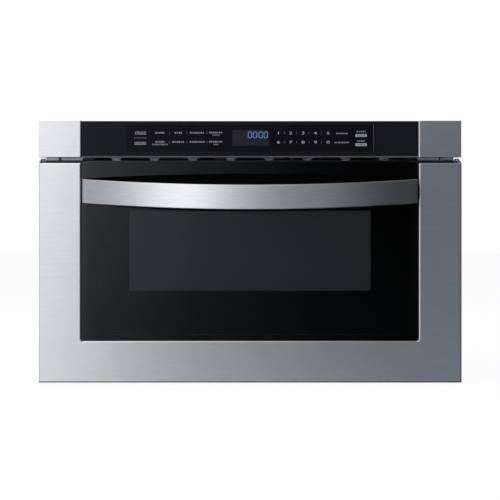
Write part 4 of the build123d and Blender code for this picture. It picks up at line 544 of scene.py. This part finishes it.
def rounded(x, z, wide, tall, radius):
    """Outline of a rounded bar about a middle point."""
    steps = 4
    outline = []
    for corner in range(4):
        side_x = 1 if corner in (0, 3) else -1
        side_z = 1 if corner in (0, 1) else -1
        for i in range(steps + 1):
            turn = math.radians(90 * corner + 90 * i / steps)
            outline.append((
                x + side_x * (wide / 2 - radius) + radius * math.cos(turn),
                z + side_z * (tall / 2 - radius) + radius * math.sin(turn),
            ))
    return outline


def word(x, z, wide, tall, letters):
    """A key's name as a row of plain blocks, one for each letter, about a middle point."""
    pitch = wide / letters
    start = x - (letters - 1) * pitch / 2
    blocks = []
    for i in range(letters):
        block = pitch * LETTER_SHARES[i % len(LETTER_SHARES)]
        blocks.append(rounded(start + i * pitch, z, block, tall, CORNER_SHARE * block))
    return blocks


def key_names(upper, lower):
    """Blocks in place of the words on the keys, in two rows."""
    marks = []
    for row, words in ((UPPER_ROW_MM, upper), (LOWER_ROW_MM, lower)):
        for x, lift, wide, tall, letters in words:
            marks += word(x, row + lift, wide, tall, letters)
    return marks


def ring(x, z, wide, tall, stroke):
    """Outlines of the four bars of an upright hollow figure, measured over its outside."""
    across, up = (wide - stroke) / 2, (tall - stroke) / 2
    level = [rounded(x, z + side * up, wide, stroke, 0.3 * stroke) for side in (-1, 1)]
    upright = [rounded(x + side * across, z, stroke, tall - 1.6 * stroke, 0.2 * stroke) for side in (-1, 1)]
    return level + upright


def drawer_key_names():
    """The two larger keys that run the drawer in and out: a row of hollow figures for each."""
    marks = []
    for row, (x, lift, wide, tall, letters) in zip((UPPER_ROW_MM, LOWER_ROW_MM), DRAWER_KEYS_MM):
        pitch = wide / letters
        for i in range(letters):
            middle = x + (i - (letters - 1) / 2) * pitch
            marks += ring(middle, row + lift, FIGURE_SHARE * pitch, tall, DRAWER_KEY_STROKE_MM)
    return marks


def separators():
    """Thin upright lines between the keys, the row between the drawer's keys, and the line at the right."""
    x, wide, tall = FIELD_LINE_MM
    lines = [rounded(x, sum(KEY_FIELD_Z_MM) / 2, wide, tall, LINE_CORNER_MM)]
    lines += word(*DRAWER_KEYS_BAR_MM)
    lift, wide, tall = SEPARATOR_MM
    for row in (UPPER_ROW_MM, LOWER_ROW_MM):
        lines += [rounded(x, row + lift, wide, tall, LINE_CORNER_MM) for x in BARS_MM + DIGIT_BARS_MM]
    return lines


def digits(finish):
    """The number keys, 1 to 5 over 6 to 0."""
    for i in range(10):
        number = (i + 1) % 10
        curve = bpy.data.curves.new(f"number_{number}", "FONT")
        curve.body = str(number)
        curve.size = DIGIT_TALL_MM * MM / FIGURE_IN_FONT
        curve.offset = DIGIT_SWELL_MM * MM
        curve.extrude = INK_MM * MM / 2
        curve.align_x = "CENTER"
        curve.align_y = "CENTER"
        curve.materials.append(finish)
        piece = bpy.data.objects.new(f"number_{number}", curve)
        row = UPPER_ROW_MM if i < 5 else LOWER_ROW_MM
        piece.location = (DIGIT_COLUMNS_MM[i % 5] * MM, TOUCH_Y - MARK_LIFT_MM * MM, row * MM)
        piece.rotation_euler = (math.pi / 2, 0, 0)
        piece.scale = (DIGIT_STRETCH, 1, 1)
        bpy.context.collection.objects.link(piece)
        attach(piece, "chassis")


def clock_segments():
    """Four slightly slanted seven-segment noughts with a colon, as outlines."""
    columns, z0 = CLOCK_MM
    wide, tall = CLOCK_DIGIT_MM
    t = SEGMENT_MM
    bars = [(0, side * tall / 2, wide - t, t) for side in (-1, 1)]
    bars += [(side * wide / 2, end * tall / 4, t, tall / 2 - 0.6 * t) for side in (-1, 1) for end in (-1, 1)]
    outlines = [
        rounded(x0 + x, z0 + z, bar_wide, bar_tall, t * 0.3)
        for x0 in columns
        for x, z, bar_wide, bar_tall in bars
    ]
    middle = (columns[1] + columns[2]) / 2
    dot = (COLON_DOT_MM, COLON_DOT_MM, COLON_CORNER_MM)
    outlines += [rounded(middle, z0 + side * tall / 4, *dot) for side in (-1, 1)]
    return [[(x + (z - z0) * CLOCK_SLANT, z) for x, z in outline] for outline in outlines]


def panel_marks():
    """Everything printed on the touch glass, and the lit clock behind its smoked window."""
    ink = screen_ink("pale_screen_ink", "#808186", "#929398")
    bright = screen_ink("bright_screen_ink", "#94959a", "#a4a5aa")
    cap = screen_ink("blue_grey_screen_ink", "#7c848e", "#8a929c")
    small = screen_ink("grey_screen_ink", "#74757b", "#84858b")
    faint = screen_ink("faint_screen_ink", "#45464d", "#4e4f56")
    flat_piece("key_names", key_names(WORDS_UPPER_MM, WORDS_LOWER_MM), INK_MM, ink)
    second_names = key_names(SMALL_WORDS_UPPER_MM, SMALL_WORDS_LOWER_MM)
    flat_piece("key_second_names", second_names, INK_MM, small)
    flat_piece("drawer_key_names", drawer_key_names(), INK_MM, bright)
    flat_piece("key_lines", separators(), INK_MM, faint)
    digits(bright)
    pill_rows = [row - drop for row, drop in zip((UPPER_ROW_MM, LOWER_ROW_MM), PILL_DROPS_MM)]
    pills = [rounded(PILL_X_MM, z, *PILL_MM, PILL_CORNER_MM) for z in pill_rows]
    flat_piece("key_caps", pills, INK_MM, cap)
    capped = [mark for z in pill_rows for mark in word(PILL_X_MM, z, *PILL_WORD_MM)]
    flat_piece("key_cap_names", capped, INK_MM, faint, 2 * MARK_LIFT_MM)
    window = rounded(*CLOCK_WINDOW_MM, CLOCK_WINDOW_CORNER_MM)
    flat_piece("clock_window", [window], INK_MM, smoked_window())
    flat_piece("clock_segments", clock_segments(), INK_MM, clock_glow(), 2 * MARK_LIFT_MM)


# ---------------------------------------------------------------- studio
def link_stage(name, data):
    """Links something that isn't part of the object."""
    thing = bpy.data.objects.new(name, data)
    bpy.context.collection.objects.link(thing)
    return thing


def background_rays(tree):
    """One where a ray comes from the camera, a mirror or a pane, for the white that each may see. The
    reflection dome stands in the way of mirror rays, so metal shows the dome instead."""
    path = add(tree, "ShaderNodeLightPath", {}).outputs
    direct = {0: path["Is Camera Ray"], 1: path["Is Glossy Ray"]}
    seen = add(tree, "ShaderNodeMath", direct, operation="MAXIMUM").outputs["Value"]
    through = {0: seen, 1: path["Is Transmission Ray"]}
    return add(tree, "ShaderNodeMath", through, operation="MAXIMUM").outputs["Value"]


def pale_floor():
    """Matt white floor: the camera sees it almost white, with the object's soft shadow kept."""
    mesh = bpy.data.meshes.new("floor")
    r = FLOOR_REACH
    mesh.from_pydata([(-r, -r, 0), (r, -r, 0), (r, r, 0), (-r, r, 0)], [], [(0, 1, 2, 3)])
    floor = link_stage("floor", mesh)
    floor.visible_glossy = False
    material, tree, shader, place = new_material("matt_white_floor", Roughness=1.0, Specular_IOR_Level=0.0)
    mottled(tree, shader, place, 400.0, "#fcfcfc", "#ffffff")
    white = add(tree, "ShaderNodeEmission", {"Color": linear("#ffffff"), "Strength": 1.0}).outputs["Emission"]
    share = add(tree, "ShaderNodeMath", {0: background_rays(tree), 1: FLOOR_GLOW}, operation="MULTIPLY")
    blend = {0: share.outputs["Value"], 1: shader.outputs["BSDF"], 2: white}
    mixed = add(tree, "ShaderNodeMixShader", blend).outputs["Shader"]
    feed(tree, tree.nodes["Material Output"], {"Surface": mixed})
    mesh.materials.append(material)


def white_world():
    """White behind everything, and a soft even light for matt surfaces."""
    world = bpy.data.worlds.new("studio")
    world.use_nodes = True
    bpy.context.scene.world = world
    tree = world.node_tree
    seen = background_rays(tree)
    levels = {"Value": seen, "To Min": WORLD_SOFT_LIGHT, "To Max": 1.0}
    strength = add(tree, "ShaderNodeMapRange", levels)
    feed(tree, tree.nodes["Background"], {"Color": linear("#ffffff"), "Strength": strength.outputs["Result"]})


def graded(tree, across, levels):
    """Colour that follows pairs of an angle and a level; its darker steps are cooler, as in a grey room."""
    ramp = add(tree, "ShaderNodeValToRGB", {"Fac": across})
    stops = ramp.color_ramp.elements
    while len(stops) < len(levels):
        stops.new(0.5)
    for stop, (angle, level) in zip(stops, levels):
        cool = 1 - min(COOL_REACH * level, 1.0)
        stop.position = (angle + 90) / 180
        stop.color = [level * (1 + tint * cool) for tint in COOL_TINT] + [1]
    return ramp.outputs["Color"]


def reflection_dome():
    """Dome round the object, seen only in reflections: bright at the left, dark towards the right."""
    mesh = bmesh.new()
    bmesh.ops.create_uvsphere(mesh, u_segments=64, v_segments=32, radius=DOME_RADIUS)
    middle = (0, FACE_Y, CAMERA_HEIGHT)
    bmesh.ops.translate(mesh, verts=mesh.verts, vec=middle)
    data = bpy.data.meshes.new("reflection_dome")
    mesh.to_mesh(data)
    mesh.free()
    dome = link_stage("reflection_dome", data)
    dome.visible_camera = False
    dome.visible_diffuse = False
    dome.visible_shadow = False
    dome.visible_transmission = False
    material = bpy.data.materials.new("graded_dome")
    material.use_nodes = True
    material.cycles.emission_sampling = "NONE"
    tree = material.node_tree
    tree.nodes.clear()
    where = add(tree, "ShaderNodeNewGeometry", {}).outputs["Position"]
    offset = add(tree, "ShaderNodeVectorMath", {0: where, 1: middle}, operation="SUBTRACT").outputs["Vector"]
    way = add(tree, "ShaderNodeVectorMath", {0: offset}, operation="NORMALIZE").outputs["Vector"]
    part = add(tree, "ShaderNodeSeparateXYZ", {"Vector": way}).outputs
    turn = add(tree, "ShaderNodeMath", {0: part["X"]}, operation="ARCSINE").outputs["Value"]
    rise = add(tree, "ShaderNodeMath", {0: part["Z"]}, operation="ARCSINE").outputs["Value"]
    span = {"Value": turn, "From Min": math.radians(-90), "From Max": math.radians(90)}
    across = add(tree, "ShaderNodeMapRange", span).outputs["Result"]

    def share(value, low, high, **settings):
        ends = {"Value": value, "From Min": low, "From Max": high}
        return add(tree, "ShaderNodeMapRange", ends, **settings).outputs["Result"]

    def blend(factor, first, second):
        ends = {FACTOR: factor, FIRST: first, SECOND: second}
        return add(tree, "ShaderNodeMix", ends, **MIX).outputs[MIXED]

    smooth = {"interpolation_type": "SMOOTHSTEP"}
    high = share(rise, *map(math.radians, ROOM_SPLIT))
    away = add(tree, "ShaderNodeMath", {0: rise}, operation="ABSOLUTE").outputs["Value"]
    outside = share(away, *map(math.radians, BAND_EDGE), **smooth)
    behind = share(part["Y"], *BEHIND_SHARE, **smooth)
    level = share(rise, *map(math.radians, BAND_SPLIT))
    band = blend(level, graded(tree, across, BAND_LOW), graded(tree, across, BAND_HIGH))
    room = blend(high, graded(tree, across, ROOM_LOW), graded(tree, across, ROOM_HIGH))
    front = blend(outside, band, room)
    colour = blend(behind, front, graded(tree, across, BEHIND_LEVELS))
    dim_low, dim_high = map(math.radians, DIM_BELOW)
    dimmed = {"Value": rise, "From Min": dim_low, "From Max": dim_high, "To Min": DIM_LEVEL}
    strength = {0: add(tree, "ShaderNodeMapRange", dimmed, **smooth).outputs["Result"], 1: DOME_STRENGTH}
    bright = add(tree, "ShaderNodeMath", strength, operation="MULTIPLY").outputs["Value"]
    glow = add(tree, "ShaderNodeEmission", {"Color": colour, "Strength": bright})
    output = add(tree, "ShaderNodeOutputMaterial", {"Surface": glow.outputs["Emission"]})
    output.is_active_output = True
    data.materials.append(material)


def soft_lamp(name, place, aim, size, power):
    """A large square lamp turned towards a point, kept out of reflections."""
    lamp = bpy.data.lights.new(name, "AREA")
    lamp.shape = "SQUARE"
    lamp.size = size
    lamp.energy = power
    thing = bpy.data.objects.new(name, lamp)
    bpy.context.collection.objects.link(thing)
    thing.location = place
    direction = [b - a for a, b in zip(place, aim)]
    thing.rotation_euler = lamp_turn(direction)
    thing.visible_glossy = False
    thing.visible_transmission = False


def lamp_turn(direction):
    """Turn that points a lamp's -Z along a direction."""
    flat = math.hypot(direction[0], direction[1])
    return (math.atan2(flat, -direction[2]), 0, math.atan2(direction[1], direction[0]) - math.pi / 2)


def lamps():
    """Three soft lamps for the matt surfaces."""
    for name, place, size, power in LAMPS:
        soft_lamp(name, place, LAMP_AIM, size, power)


def camera():
    """Level camera, square on to the face."""
    data = bpy.data.cameras.new("camera")
    data.lens = LENS_MM
    data.clip_end = CLIP_END
    thing = bpy.data.objects.new("camera", data)
    bpy.context.collection.objects.link(thing)
    thing.location = (0, FACE_Y - CAMERA_DISTANCE, CAMERA_HEIGHT)
    thing.rotation_euler = (math.pi / 2, 0, 0)
    bpy.context.scene.camera = thing


bpy.context.scene.view_settings.view_transform = "Standard"
camera()
dress_nodes()
panel_marks()
pale_floor()
white_world()
reflection_dome()
lamps()
